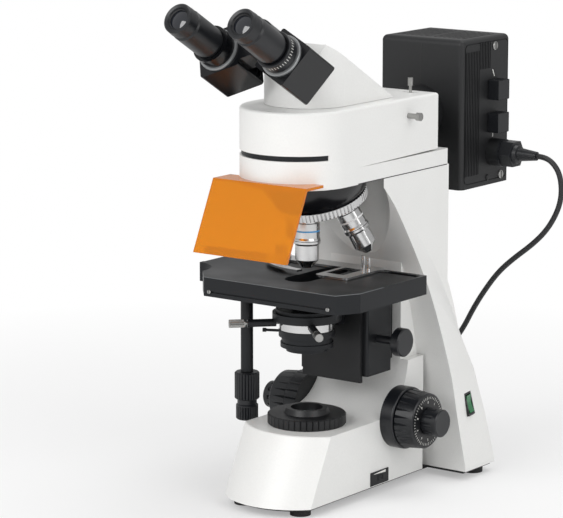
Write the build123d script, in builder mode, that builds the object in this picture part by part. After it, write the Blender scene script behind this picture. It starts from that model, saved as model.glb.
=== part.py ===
from build123d import *
import os
from math import cos, pi, radians, sin, tan

# Upright compound microscope with an epi-illuminator, a lamp house and a two-eyepiece head.
# Millimetres. +Z is up, the user sits on the -Y side and +X is the user's right.
# The origin is on the bench under the middle of the whole instrument.

# Optical axis, seen from the origin
axis_x = 31.5
axis_y = -55.0

# Clearances
seat_gap = 0.3
running_fit = 0.05

# Base
foot_height = 6.0
foot_radius = 9.0
front_foot_x = 30.0
front_foot_y = -50.0
rear_foot_x = 70.0
rear_foot_y = 158.0
base_plate_thickness = 2.0
base_half_width = 46.0
base_wall = 6.0
deck_height = 66.0
nose_top_reach = 47.5
nose_top_shoulder = 28.0
nose_bottom_reach = 78.0
nose_bottom_shoulder = 57.0
ramp_start = 38.0
ramp_middle = (72.0, 78.0)
saddle_front = 88.0
saddle_rear = 112.5
saddle_height = 112.0

# Arm
arm_half_width = 50.0
arm_foot_half_width = 84.0
arm_wall = 6.0
arm_bottom = 7.0
arm_top = 280.5
arm_back = 144.0
arm_foot_back = 172.5
column_half_width = 38.0
column_top = 230.0
pocket_radius = 50.5
pocket_centre_y = 36.0
pocket_bottom = 205.0

# Inserts in the stand: power switch, dial window, mains inlet
switch_y = 143.0
switch_z = 66.0
switch_x = 75.0
switch_width = 14.0
switch_height = 21.0
rocker_width = 9.6
rocker_height = 15.6
rocker_depth = 2.5
rocker_pin_radius = 1.2
rocker_gap = 0.8
insert_proud = 0.8
window_y = 44.5
window_z = 15.0
window_width = 27.0
window_height = 12.0
window_depth = 24.0
wheel_radius = 10.5
wheel_thickness = 4.0
wheel_pin_radius = 1.6
wheel_proud = 1.4
inlet_z = 34.0
inlet_width = 30.0
inlet_height = 23.0
insert_depth = 9.0

# Arm head and illuminator box
head_slab_thickness = 14.0
head_slab_front = 5.0
box_half_width = 50.0
box_nose_centre_y = -13.0
box_back = 126.0
box_top = 346.0
box_wall = 4.0
box_shadow_gap = 2.0
slit_bottom = 304.6
slit_height = 4.6
slit_half_angle = 68.0
filter_pitch = 13.0
filter_radius = 8.0
filter_post_radius = 4.0
filter_disc_radius = 48.4
light_port = 15.0
rod_y = 80.0
rod_z = 330.5
rod_radius = 2.4
rod_length = 13.0
lever_x = 30.0
lever_y = 112.0
lever_height = 13.0
lever_slot = 15.0

# Field collector on the deck
collector_radius = 34.2
collector_height = 9.7
collector_ribs = 40
collector_bore = 14.0
collector_lip = 4.6
field_lens_thickness = 5.0

# Focus drive
focus_y = 72.4
focus_z = 64.5
coarse_shaft_radius = 7.0
fine_shaft_radius = 3.5
collar_radius = 27.5
collar_outer_x = 59.0
coarse_outer_x = 78.0
coarse_inner_radius = 26.0
coarse_outer_radius = 24.3
coarse_ribs = 24
fine_outer_x = 94.0
fine_radius = 12.2
fine_flutes = 10

# Focus carriage and its guide
carriage_half_width = 36.0
carriage_front = 40.0
carriage_back = 77.0
carriage_bottom = 104.0
guide_half_width = 29.0
guide_front = 80.0
guide_top = 172.0
tongue_length = 8.0
tongue_root = 14.0
tongue_tip = 18.0

# Stage
stage_top = 195.0
stage_thickness = 9.0
stage_guide_height = 4.0
stage_skirt = 17.0
stage_left = -117.0
stage_right = 77.5
stage_front = -51.0
stage_back = 69.4
groove_z = 181.6
skirt_wall = 6.0
slot_width = 27.0
slot_front = -23.0
slot_back = 51.0
channel_front = 57.2
channel_back = 64.8
channel_floor = 188.7
channel_end_wall = 3.0
holder_relief = 0.3
rail_height = 6.3
rail_left = -157.0
rail_right = 44.0
rail_width = 7.0
support_thickness = 6.0
support_half_width = 51.0
support_front = -16.0
support_back = 70.0
support_bore = 26.0
stage_guide_width = 6.0

# Slide holder
holder_thickness = 2.0
jaw_left = 4.0
jaw_right = 37.5
jaw_front = 5.0
finger_pivot_x = -66.0
finger_pivot_y = 52.0
finger_pin_radius = 2.0
finger_knob_radius = 5.4
finger_knob_height = 8.6
finger_thickness = 1.8

# Stage drive, hanging at the stage's left
drive_x = -63.0
drive_y = -3.0
drive_tube_radius = 5.5
drive_core_radius = 3.2
drive_knob_radius = 11.0
drive_low_knob_radius = 9.8
drive_knob_top = 104.0
drive_knob_split = 79.0
drive_bottom = 61.0

# Condenser
condenser_plate_half_width = 31.0
condenser_plate_bottom = 98.5
condenser_plate_top = 168.0
condenser_plate_thickness = 3.4
condenser_top = 185.5
condenser_radius = 24.0
top_lens_radius = 13.5
fork_bottom = 158.0
fork_top = 165.0
fork_radius = 30.0
iris_bottom = 144.0
iris_core_radius = 18.0
iris_lever_angle = 25.0
iris_lever_reach = 36.0
band_bottom = 150.0
filter_top = 138.7
filter_bottom = 131.0
filter_glass_radius = 16.0
filter_pivot_x = -22.5
filter_pivot_y = 9.0
filter_pin_radius = 1.5
centring_z = 156.0
centring_angle = 45.0
centring_reach = 68.0
centring_screw_radius = 1.5
centring_grip_radius = 3.6
condenser_knob_x = 64.0
condenser_knob_y = 55.0
condenser_knob_z = 136.0
condenser_knob_radius = 12.5
condenser_shaft_radius = 3.5

# Nosepiece: the turret axis leans back and every objective axis meets it in one point
turret_tilt = 20.0
turret_apex_z = 318.0
seat_distance = 72.6
turret_radius = 40.5
turret_rim_top = 55.7
turret_rim_bottom = 62.5
turret_spindle_radius = 7.0
dome_radius = 47.0
turret_knurls = 72
objective_thread = 8.0
objective_shoulder = 9.6
seat_cut = 0.7

# Ultraviolet shield
shield_half_width = 49.0
shield_thickness = 2.4
shield_top_y = -68.0
shield_top_z = 286.0
shield_drop = 60.0
shield_lean = 28.0
shield_rear_y = -44.0

# Lamp house
lamp_half_width = 44.5
lamp_front = 173.0
lamp_back = 252.0
lamp_bottom = 251.5
lamp_top = 386.5
lamp_wall = 3.0
lamp_edge = 5.0
lamp_tube_radius = 24.0
lamp_tube_bore = 19.0
lamp_tube_z = 320.0
lamp_column_y = 224.0
lamp_socket_z = 281.0
lamp_socket_radius = 12.5
lamp_socket_length = 12.0
lamp_knob_z = (338.5, 308.5)
lamp_knob_size = 18.0
lamp_knob_length = 11.0
lamp_knob_shaft = 3.0
connector_pin_radius = 8.0
connector_end = 92.0
vent_count = 15
vent_pitch = 5.0
vent_width = 1.8

# Binocular head
tube_tilt = 30.0
head_half_width = 38.0
head_bottom = 346.3
head_back = 74.0
head_front_radius = 36.0
dovetail_radius = 19.0
hinge_y = -27.5
hinge_z = 383.5
hinge_to_top = 19.0
hinge_disc_radius = 18.5
hinge_disc_thickness = 11.7
hinge_pin_radius = 6.0
eye_arm = 36.0
eye_droop = 25.0
housing_front = 52.0
housing_half_height = 19.7
housing_inner = 18.2
housing_outer = 55.5
housing_boss_radius = 16.5
tube_ring_radius = 18.5
diopter_radius = 16.6
eyepiece_radius = 14.0
eye_sleeve_radius = 11.5
sleeve_top = 66.0
eye_end = 116.0

# Lead from the lamp house
lead_radius = 2.5
coil_turns_across = 3
coil_turns_high = 2
coil_radius = 29.0
plug_radius = 7.5
plug_length = 42.0


# Planes and small helpers, all measured from the optical axis at bench height

def level(z, x=0, y=0):
    """Plane facing up: its own x and y run along +X and +Y."""
    return Plane((axis_x + x, axis_y + y, z))


def across(x, y=0, z=0):
    """Plane facing +X: its own x runs along +Y and its own y along +Z."""
    return Plane((axis_x + x, axis_y + y, z), x_dir=(0, 1, 0), z_dir=(1, 0, 0))


def behind(y, x=0, z=0):
    """Plane facing +Y: its own x runs along -X and its own y along +Z."""
    return Plane((axis_x + x, axis_y + y, z), x_dir=(-1, 0, 0), z_dir=(0, 1, 0))


def turned(plane, profile):
    """Solid turned about the plane's normal from (radius, distance along it) points."""
    half = Plane(plane.origin, x_dir=plane.x_dir, z_dir=-plane.y_dir)
    with BuildPart() as piece:
        with BuildSketch(half):
            with BuildLine():
                Polyline(*profile, close=True)
            make_face()
        revolve(axis=Axis(plane.origin, plane.z_dir))
    return piece.part


def disc(plane, radius, start, end):
    """Plain cylinder from start to end along the plane's normal."""
    with BuildPart() as piece:
        with BuildSketch(plane.offset(start)):
            Circle(radius)
        extrude(amount=end - start)
    return piece.part


def ring(plane, outer, inner, start, end):
    """Plain ring from start to end along the plane's normal."""
    with BuildPart() as piece:
        with BuildSketch(plane.offset(start)):
            Circle(outer)
            Circle(inner, mode=Mode.SUBTRACT)
        extrude(amount=end - start)
    return piece.part


def bar(plane, width, height, start, end, corner=0):
    """Rectangular bar centred on the plane's origin, with round corners if asked."""
    with BuildPart() as piece:
        with BuildSketch(plane.offset(start)):
            if corner:
                RectangleRounded(width, height, corner)
            else:
                Rectangle(width, height)
        extrude(amount=end - start)
    return piece.part


def block(x0, x1, y0, y1, z0, z1):
    """Plain block between two corners measured from the optical axis."""
    return bar(level(0, (x0 + x1) / 2, (y0 + y1) / 2), x1 - x0, y1 - y0, z0, z1)


def notches(plane, count, radius, depth, start, end):
    """Ring of V grooves that makes a ribbed rim."""
    with BuildPart() as grooves:
        with BuildSketch(plane.offset(start)):
            with PolarLocations(radius, count):
                RegularPolygon(depth, 4)
        extrude(amount=end - start)
    return grooves.part


def scallops(plane, count, pitch_radius, groove_radius, start, end):
    """Ring of round grooves that makes a fluted rim."""
    with BuildPart() as grooves:
        with BuildSketch(plane.offset(start)):
            with PolarLocations(pitch_radius, count):
                Circle(groove_radius)
        extrude(amount=end - start)
    return grooves.part


def dovetail(plane, root, tip, length, start, end):
    """Bar with a dovetail section: root and tip are half widths, length runs along -Y."""
    with BuildPart() as piece:
        with BuildSketch(plane.offset(start)):
            with BuildLine():
                Polyline((root, 0), (tip, -length), (-tip, -length), (-root, 0), close=True)
            make_face()
        extrude(amount=end - start)
    return piece.part


# Base casting: a deck with a sloping round nose, a ramp behind it and a saddle for the arm

base_bottom = foot_height + base_plate_thickness


def nose_plan(plane, half_width, shoulder, reach, back):
    """Outline with straight sides and a round front."""
    with BuildSketch(plane) as plan:
        with BuildLine():
            Polyline((half_width, -shoulder), (half_width, back), (-half_width, back),
                     (-half_width, -shoulder))
            ThreePointArc((-half_width, -shoulder), (0, -reach), (half_width, -shoulder))
        make_face()
    return plan.sketch


focus_shaft = across(0, focus_y, focus_z)
window_face = across(base_half_width, window_y, window_z)
wheel_axis = level(window_z - wheel_thickness / 2, base_half_width - wheel_radius + wheel_proud, window_y)

with BuildPart() as base_casting:
    nose_foot = nose_plan(level(base_bottom), base_half_width, nose_bottom_shoulder,
                          nose_bottom_reach, 0)
    nose_deck = nose_plan(level(deck_height), base_half_width, nose_top_shoulder, nose_top_reach, 0)
    loft([nose_foot, nose_deck], ruled=True)
    with BuildSketch(across(-base_half_width)):
        with BuildLine():
            Polyline((saddle_front, saddle_height), (saddle_rear, saddle_height),
                     (saddle_rear, base_bottom), (-1, base_bottom), (-1, deck_height),
                     (ramp_start, deck_height))
            ThreePointArc((ramp_start, deck_height), ramp_middle, (saddle_front, saddle_height))
        make_face()
    extrude(amount=2 * base_half_width)
    deck_rim = base_casting.edges().filter_by(GeomType.CIRCLE).sort_by(Axis.Y)[:2].sort_by(Axis.Z)[-1]
    fillet(deck_rim, radius=2.0)
    add(bar(level(0, 0, 28), 2 * (base_half_width - base_wall), 134, base_bottom,
            deck_height - base_wall, 8), mode=Mode.SUBTRACT)
    add(disc(focus_shaft, coarse_shaft_radius + running_fit, -base_half_width, base_half_width),
        mode=Mode.SUBTRACT)
    add(bar(window_face, window_width, window_height, -window_depth, 1), mode=Mode.SUBTRACT)

with BuildPart() as base_plate:
    nose_cover = nose_plan(level(foot_height), base_half_width - 3, nose_bottom_shoulder,
                           nose_bottom_reach - 4, saddle_rear)
    extrude(nose_cover, amount=base_plate_thickness)
    add(block(3 - arm_foot_half_width, arm_foot_half_width - 3, saddle_rear + 13, arm_foot_back - 3,
              foot_height, base_bottom))
    add(block(3 - base_half_width, base_half_width - 3, saddle_rear, saddle_rear + 14,
              foot_height, base_bottom))

with BuildPart() as rubber_feet:
    for side in (-1, 1):
        add(disc(level(0, side * front_foot_x, front_foot_y), foot_radius, 0, foot_height))
        add(disc(level(0, side * rear_foot_x, rear_foot_y), foot_radius, 0, foot_height))

# Arm: two wings that flare to the bench, joined by an upright column

flare_sections = [(arm_half_width, 300, (102, 217), 88), (62, 232, (110, 164), 76),
                  (74, 140, (120, 90), 42), (arm_foot_half_width, 13, (120, 12), 10)]


def wing_flare(side):
    """Side flare of the arm, lofted through upright sections from the waist to the foot."""
    sections = []
    for x, front_z, middle, rear_z in flare_sections:
        with BuildSketch(across(side * x)) as section:
            with BuildLine():
                Polyline((0, front_z), (0, 0), (180, 0), (180, rear_z))
                ThreePointArc((180, rear_z), middle, (0, front_z))
            make_face()
        sections.append(section.sketch)
    with BuildPart() as flare:
        loft(sections, ruled=True)
    return flare.part


switch_face = Plane((axis_x + switch_x, axis_y + switch_y, switch_z),
                    x_dir=(-0.195, 0.95, 0), z_dir=(0.95, 0.195, 0.244))
inlet_face = behind(arm_foot_back, 0, inlet_z)

with BuildPart() as arm_column:
    with BuildSketch(across(-arm_foot_half_width)):
        with BuildLine():
            Polyline((34, arm_top), (arm_back, arm_top), (arm_back, 176))
            ThreePointArc((arm_back, 176), (164, 122), (arm_foot_back, 60))
            Polyline((arm_foot_back, 60), (arm_foot_back, base_bottom), (125, base_bottom), (119, 67))
            ThreePointArc((119, 67), (99, 170), (67, 241))
            ThreePointArc((67, 241), (52, 263), (34, arm_top))
        make_face()
    extrude(amount=2 * arm_foot_half_width)
    envelope = wing_flare(-1) + wing_flare(1)
    envelope = envelope + block(-arm_half_width, arm_half_width, 0, 180, 0, arm_top)
    add(envelope, mode=Mode.INTERSECT)
    add(block(-column_half_width, column_half_width, saddle_front, arm_back - 10,
              saddle_height, column_top))
    add(block(-arm_foot_half_width, arm_foot_half_width, 0, saddle_rear, 0, saddle_height),
        mode=Mode.SUBTRACT)
    add(disc(level(0, 0, pocket_centre_y), pocket_radius, pocket_bottom, arm_top),
        mode=Mode.SUBTRACT)
    add(block(arm_wall - column_half_width, column_half_width - arm_wall, saddle_rear + arm_wall,
              arm_back - arm_wall, base_bottom, arm_top - arm_wall), mode=Mode.SUBTRACT)
    add(bar(switch_face, switch_width, switch_height, -insert_depth, 20), mode=Mode.SUBTRACT)
    add(bar(inlet_face, inlet_width, inlet_height, -insert_depth, 1), mode=Mode.SUBTRACT)

# Black inserts in the stand: switch bezel, dial window and mains inlet

rocker_axis = Plane(switch_face.offset(-rocker_depth).origin, x_dir=switch_face.y_dir,
                    z_dir=switch_face.x_dir)

with BuildPart() as panel_inserts:
    add(bar(switch_face, switch_width, switch_height, -insert_depth, insert_proud, 1))
    add(bar(switch_face, rocker_width + 2 * seat_gap, rocker_height + 2 * rocker_gap,
            1 - insert_depth, insert_proud + 1), mode=Mode.SUBTRACT)
    add(disc(rocker_axis, rocker_pin_radius + running_fit, -rocker_width / 2 - 1.2,
             rocker_width / 2 + 1.2), mode=Mode.SUBTRACT)
    add(bar(window_face, window_width, window_height, -window_depth, insert_proud))
    add(disc(wheel_axis, wheel_radius + seat_gap, -seat_gap, wheel_thickness + seat_gap),
        mode=Mode.SUBTRACT)
    add(disc(wheel_axis, wheel_pin_radius, -1, wheel_thickness + 1))
    add(bar(inlet_face, inlet_width, inlet_height, -insert_depth, insert_proud))
    add(bar(inlet_face, inlet_width - 6, inlet_height - 6, 2 - insert_depth, insert_proud, 3),
        mode=Mode.SUBTRACT)

with BuildPart() as power_rocker:
    with BuildSketch(Plane(rocker_axis.origin, x_dir=switch_face.y_dir,
                           z_dir=switch_face.x_dir).offset(-rocker_width / 2)):
        with BuildLine():
            Polyline((-rocker_height / 2, rocker_depth + 1.8), (-rocker_height / 2 + 1, -2.4),
                     (rocker_height / 2 - 1, -2.4), (rocker_height / 2, rocker_depth + 1.8))
            ThreePointArc((rocker_height / 2, rocker_depth + 1.8), (0, rocker_depth + 0.4),
                          (-rocker_height / 2, rocker_depth + 1.8))
        make_face()
    extrude(amount=rocker_width)
    add(disc(rocker_axis, rocker_pin_radius, -rocker_width / 2 - 1, rocker_width / 2 + 1))

with BuildPart() as brightness_wheel:
    add(ring(wheel_axis, wheel_radius, wheel_pin_radius + running_fit, 0, wheel_thickness))
    add(notches(wheel_axis, 40, wheel_radius, 0.6, 0, wheel_thickness), mode=Mode.SUBTRACT)

# Arm head: the slab that carries the illuminator

slab_top = arm_top + head_slab_thickness

with BuildPart() as arm_head:
    add(block(-arm_half_width, arm_half_width, head_slab_front, arm_back, arm_top, slab_top))
    fillet(arm_head.edges().filter_by(Axis.Z).sort_by(Axis.Y)[-2:], radius=3.0)
    add(disc(level(0), light_port, arm_top, slab_top), mode=Mode.SUBTRACT)

# Illuminator box: round nose, flat sides, a slit for the filter turret and a hollow inside

nose_bottom = arm_top - 0.5
nose_axis = level(0, 0, box_nose_centre_y)
box_floor = slab_top + box_wall
rod_axis = across(0, rod_y, rod_z)
lever_axis = level(0, lever_x, lever_y)


def box_plan(z, inset):
    """Plan of the illuminator box, drawn in by an even inset."""
    half = box_half_width - inset
    with BuildSketch(level(z)) as plan:
        with BuildLine():
            Polyline((half, box_nose_centre_y), (half, box_back - inset),
                     (-half, box_back - inset), (-half, box_nose_centre_y))
            ThreePointArc((-half, box_nose_centre_y), (0, box_nose_centre_y - half),
                          (half, box_nose_centre_y))
        make_face()
    return plan.sketch


with BuildPart() as illuminator_box:
    extrude(box_plan(nose_bottom, 0), amount=box_top - nose_bottom)
    fillet(illuminator_box.edges().group_by(Axis.Z)[-1], radius=2.5)
    add(block(-60, 60, head_slab_front, box_back + 1, nose_bottom - 1, slab_top),
        mode=Mode.SUBTRACT)
    with BuildSketch(across(-60)):
        with BuildLine():
            Polyline((head_slab_front, slab_top), (box_back + 1, slab_top),
                     (box_back + 1, slab_top + box_shadow_gap), close=True)
        make_face()
    extrude(amount=120, mode=Mode.SUBTRACT)
    extrude(box_plan(box_floor, box_wall), amount=box_top - box_wall - box_floor,
            mode=Mode.SUBTRACT)
    add(disc(nose_axis, filter_disc_radius + seat_gap, slit_bottom, slit_bottom + slit_height),
        mode=Mode.SUBTRACT)
    slit_back = box_nose_centre_y - box_half_width * cos(radians(slit_half_angle))
    slit_band = ring(nose_axis, box_half_width + 1, box_half_width - box_wall - 1, slit_bottom,
                     slit_bottom + slit_height)
    add(slit_band & block(-60, 60, box_nose_centre_y - 60, slit_back, slit_bottom,
                          slit_bottom + slit_height), mode=Mode.SUBTRACT)
    add(disc(nose_axis, filter_post_radius, box_floor, slit_bottom + slit_height))
    add(disc(level(0), filter_radius, nose_bottom - 1, box_floor + 1), mode=Mode.SUBTRACT)
    add(disc(level(0), dovetail_radius + running_fit, box_top - box_wall - 1, box_top + 1),
        mode=Mode.SUBTRACT)
    add(disc(rod_axis, rod_radius + running_fit, box_half_width - box_wall - 1,
             box_half_width + 1), mode=Mode.SUBTRACT)
    add(bar(lever_axis, lever_slot, 3.4, box_top - box_wall - 1, box_top + 1),
        mode=Mode.SUBTRACT)
    add(disc(behind(box_back, 0, lamp_tube_z), lamp_tube_bore, -box_wall - 1, 1),
        mode=Mode.SUBTRACT)

with BuildPart() as filter_turret:
    with BuildSketch(nose_axis.offset(slit_bottom + seat_gap)):
        Circle(filter_disc_radius)
        Circle(filter_post_radius + running_fit, mode=Mode.SUBTRACT)
        with PolarLocations(filter_pitch, 4, start_angle=90):
            Circle(filter_radius, mode=Mode.SUBTRACT)
    extrude(amount=slit_height - 2 * seat_gap)

with BuildPart() as shutter_rod:
    add(disc(rod_axis, rod_radius, box_half_width - 14, box_half_width + rod_length - 4))
    add(disc(rod_axis, rod_radius + 1.2, box_half_width + rod_length - 4,
             box_half_width + rod_length))
    add(disc(rod_axis, rod_radius + 1.8, box_half_width - 14, box_half_width - 11))

with BuildPart() as aperture_lever:
    add(bar(lever_axis, 12, 8, box_top - box_wall - 2.3, box_top - box_wall - seat_gap))
    add(disc(lever_axis, 1.3, box_top - box_wall - seat_gap, box_top + lever_height))
    add(disc(lever_axis, 2.3, box_top + lever_height - 7, box_top + lever_height))

# Collector: a ribbed black ring on the deck round the field lens

deck_axis = level(deck_height)
lens_seat = 3.0

with BuildPart() as collector_ring:
    add(turned(deck_axis, [(collector_bore - 2, 0), (collector_radius - 1, 0), (collector_radius, 1),
                           (collector_radius, collector_height - 1),
                           (collector_radius - 1, collector_height),
                           (collector_bore + 6, collector_height),
                           (collector_bore + 4, collector_height + collector_lip),
                           (collector_bore, collector_height + collector_lip),
                           (collector_bore, lens_seat), (collector_bore - 2, lens_seat)]))
    add(notches(deck_axis, collector_ribs, collector_radius + 0.1, 0.9, -1, collector_height + 1),
        mode=Mode.SUBTRACT)

with BuildPart() as field_lens:
    add(disc(deck_axis, collector_bore - running_fit, lens_seat, lens_seat + field_lens_thickness))

# Focus drive: collar, tension ring, coarse knobs on a tube and fine knobs on the shaft inside


def coarse_knob(side):
    """Ribbed knob that tapers towards its dial face."""
    plane = Plane(focus_shaft.origin, x_dir=(0, side, 0), z_dir=(side, 0, 0))
    inner = collar_outer_x + seat_gap
    with BuildPart() as knob:
        add(turned(plane, [(coarse_shaft_radius + running_fit, inner),
                           (coarse_inner_radius - 1, inner),
                           (coarse_inner_radius, inner + 1),
                           (coarse_outer_radius, coarse_outer_x - 1),
                           (coarse_outer_radius - 1, coarse_outer_x),
                           (fine_shaft_radius + 1, coarse_outer_x),
                           (fine_shaft_radius + 1, coarse_outer_x - 4),
                           (coarse_shaft_radius + running_fit, coarse_outer_x - 4)]))
        add(notches(plane, coarse_ribs, coarse_inner_radius, 1.5, inner - 1, coarse_outer_x - 3.5),
            mode=Mode.SUBTRACT)
    return knob.part


def fine_knob(side):
    """Fluted knob at the end of the fine shaft."""
    plane = Plane(focus_shaft.origin, x_dir=(0, side, 0), z_dir=(side, 0, 0))
    inner = coarse_outer_x + seat_gap
    with BuildPart() as knob:
        add(turned(plane, [(fine_shaft_radius + running_fit, inner), (fine_radius, inner),
                           (fine_radius, fine_outer_x - 1), (fine_radius - 1, fine_outer_x),
                           (0, fine_outer_x), (0, fine_outer_x - 4),
                           (fine_shaft_radius + running_fit, fine_outer_x - 4)]))
        add(scallops(plane, fine_flutes, fine_radius + 1.1, 2.2, inner, fine_outer_x - 5),
            mode=Mode.SUBTRACT)
    return knob.part


with BuildPart() as focus_collar:
    add(ring(focus_shaft, collar_radius, coarse_shaft_radius + running_fit, base_half_width,
             collar_outer_x))
    fillet(focus_collar.edges().filter_by(GeomType.CIRCLE).sort_by(SortBy.RADIUS)[-1], radius=1.5)

with BuildPart() as tension_ring:
    add(ring(focus_shaft, collar_radius, coarse_shaft_radius + running_fit, -collar_outer_x,
             -base_half_width - seat_gap))
    add(notches(focus_shaft, coarse_ribs, collar_radius, 1.0, -collar_outer_x,
                -base_half_width), mode=Mode.SUBTRACT)

with BuildPart() as coarse_knob_right:
    add(coarse_knob(1))

with BuildPart() as coarse_knob_left:
    add(coarse_knob(-1))
    add(ring(focus_shaft, coarse_shaft_radius + running_fit, fine_shaft_radius + running_fit,
             4 - coarse_outer_x, -collar_outer_x))
    add(ring(focus_shaft, coarse_shaft_radius, fine_shaft_radius + running_fit,
             -collar_outer_x, coarse_outer_x - 4))

with BuildPart() as fine_knob_right:
    add(fine_knob(1))

with BuildPart() as fine_knob_left:
    add(fine_knob(-1))
    add(disc(focus_shaft, fine_shaft_radius + running_fit, 4 - fine_outer_x, -coarse_outer_x))
    add(disc(focus_shaft, fine_shaft_radius, -coarse_outer_x, fine_outer_x - 4))

# Focus guide on the column, and the carriage that runs on it

with BuildPart() as focus_guide:
    add(block(-guide_half_width, guide_half_width, guide_front, saddle_front, saddle_height,
              guide_top))
    add(dovetail(level(0, 0, guide_front), tongue_root, tongue_tip, tongue_length, saddle_height,
                 guide_top))

carriage_top = stage_top - stage_thickness - stage_guide_height - support_thickness
condenser_tongue = 6.0
pinion_axis = across(0, condenser_knob_y, condenser_knob_z)

with BuildPart() as stage_carriage:
    add(block(-carriage_half_width, carriage_half_width, carriage_front, carriage_back,
              carriage_bottom, carriage_top))
    fillet(stage_carriage.edges().filter_by(Axis.Z), radius=2.0)
    add(dovetail(level(0, 0, guide_front), tongue_root + seat_gap + 1, tongue_tip + seat_gap + 0.5,
                 tongue_length + seat_gap, carriage_bottom, carriage_top), mode=Mode.SUBTRACT)
    add(dovetail(level(0, 0, carriage_front + condenser_tongue), 10 + seat_gap + 0.4,
                 8 + seat_gap, condenser_tongue + 1, carriage_bottom, carriage_top),
        mode=Mode.SUBTRACT)
    add(disc(pinion_axis, condenser_shaft_radius + running_fit, 10.5, carriage_half_width + 1),
        mode=Mode.SUBTRACT)

# Stage: a support plate with two guide bars, and the plate that slides along Y on them

support_bottom = carriage_top
support_top = support_bottom + support_thickness
stage_bottom = stage_top - stage_thickness
stage_guide_x = 45.0
keel_x = stage_guide_x + stage_guide_width + seat_gap

with BuildPart() as stage_support:
    add(block(-support_half_width, support_half_width, support_front, support_back,
              support_bottom, support_top))
    fillet(stage_support.edges().filter_by(Axis.Z), radius=4.0)
    add(disc(level(0), support_bore, support_bottom, support_top), mode=Mode.SUBTRACT)
    for side in (-1, 1):
        add(bar(level(0, side * stage_guide_x, (support_front + support_back) / 2),
                stage_guide_width, support_back - support_front - 10, support_top,
                stage_bottom - seat_gap))

stage_outline = [(-73, stage_front), (66, stage_front), (stage_right, -30),
                 (stage_right, stage_back), (stage_left, stage_back), (stage_left, -1)]


def stage_plan(z):
    """Outline of the stage: a cut right corner and a hollow cut at the left."""
    with BuildSketch(level(z)) as plan:
        with BuildLine():
            Polyline(*stage_outline)
            ThreePointArc(stage_outline[-1], (-96, -11), (-90, -31))
            Line((-90, -31), stage_outline[0])
        make_face()
    return plan.sketch


with BuildPart() as stage_plate:
    extrude(stage_plan(stage_bottom), amount=stage_thickness)
    rim = stage_plan(stage_top - stage_skirt)
    extrude(rim - offset(rim, amount=-skirt_wall, mode=Mode.PRIVATE),
            amount=stage_skirt - stage_thickness)
    add(block(stage_left + skirt_wall, stage_right - skirt_wall, channel_front, stage_back,
              stage_top - stage_skirt, stage_bottom), mode=Mode.SUBTRACT)
    with BuildSketch(level(stage_bottom, 0, (slot_front + slot_back) / 2)):
        SlotOverall(slot_back - slot_front, slot_width, rotation=90)
    extrude(amount=stage_thickness, mode=Mode.SUBTRACT)
    add(block(stage_left - 1, stage_right - channel_end_wall, channel_front, channel_back,
              channel_floor, stage_top), mode=Mode.SUBTRACT)
    add(block(stage_left - 1, stage_right + 1, jaw_front - seat_gap, stage_back + 1,
              stage_top - holder_relief, stage_top + 1), mode=Mode.SUBTRACT)
    for side in (-1, 1):
        add(bar(level(0, side * keel_x, (stage_front + channel_front) / 2), stage_guide_width,
                channel_front - stage_front - 20, support_top + seat_gap, stage_bottom))
    add(block(-66, 60, stage_front - 1, stage_front + 1.2, groove_z, groove_z + 1.4),
        mode=Mode.SUBTRACT)

rail_top = channel_floor + seat_gap + rail_height

with BuildPart() as slide_rail:
    add(block(rail_left, rail_right, channel_front + seat_gap, channel_front + seat_gap + rail_width,
              channel_floor + seat_gap, rail_top))

holder_top = rail_top + holder_thickness
finger_axis = level(0, finger_pivot_x, finger_pivot_y)

with BuildPart() as slide_holder:
    add(block(finger_pivot_x - 6, jaw_right, finger_pivot_y - 6, channel_front + rail_width,
              rail_top, holder_top))
    add(block(jaw_left, jaw_right, jaw_front, channel_front, rail_top, holder_top))
    fillet(slide_holder.edges().filter_by(Axis.Z).sort_by(Axis.Y)[:2], radius=4.0)
    add(block(jaw_left + 4, jaw_right - 11, jaw_front + 12, finger_pivot_y - 6, rail_top,
              holder_top), mode=Mode.SUBTRACT)
    add(disc(finger_axis, finger_pin_radius + running_fit, rail_top, holder_top),
        mode=Mode.SUBTRACT)
    for x, y in ((22.5, 52), (31, 48)):
        add(disc(level(0, x, y), 1.8, holder_top, holder_top + 11))

with BuildPart() as slide_finger:
    with BuildSketch(level(holder_top + seat_gap)):
        with BuildLine():
            ThreePointArc((-76, 52), (-52, 15), (-13, 3))
            Line((-13, 3), (-12, 9))
            ThreePointArc((-12, 9), (-42, 22), (-57, 50))
            ThreePointArc((-57, 50), (-66, 61), (-76, 52))
        make_face()
    extrude(amount=finger_thickness)
    add(disc(finger_axis, finger_pin_radius, rail_top + seat_gap, holder_top + seat_gap))
    add(disc(finger_axis, finger_knob_radius, holder_top + seat_gap + finger_thickness,
             holder_top + seat_gap + finger_thickness + finger_knob_height))
    add(notches(finger_axis, 20, finger_knob_radius, 0.6,
                holder_top + seat_gap + finger_thickness + 1, holder_top + 30),
        mode=Mode.SUBTRACT)

# Stage drive: a tube under the stage with two knobs on one centre

drive_axis = level(0, drive_x, drive_y)
core_top = stage_bottom - 6

with BuildPart() as drive_tube:
    add(ring(drive_axis, drive_tube_radius, drive_core_radius + running_fit, drive_knob_top,
             stage_bottom))
    add(ring(drive_axis, drive_tube_radius + 2.5, drive_tube_radius, stage_bottom - 3, stage_bottom))

with BuildPart() as y_drive_knob:
    add(ring(drive_axis, drive_knob_radius, drive_core_radius + running_fit,
             drive_knob_split + seat_gap, drive_knob_top - seat_gap))
    chamfer(y_drive_knob.edges().filter_by(GeomType.CIRCLE).sort_by(SortBy.RADIUS)[-2:], length=1)
    add(notches(drive_axis, 24, drive_knob_radius, 0.9, drive_knob_split, drive_knob_top),
        mode=Mode.SUBTRACT)

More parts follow.
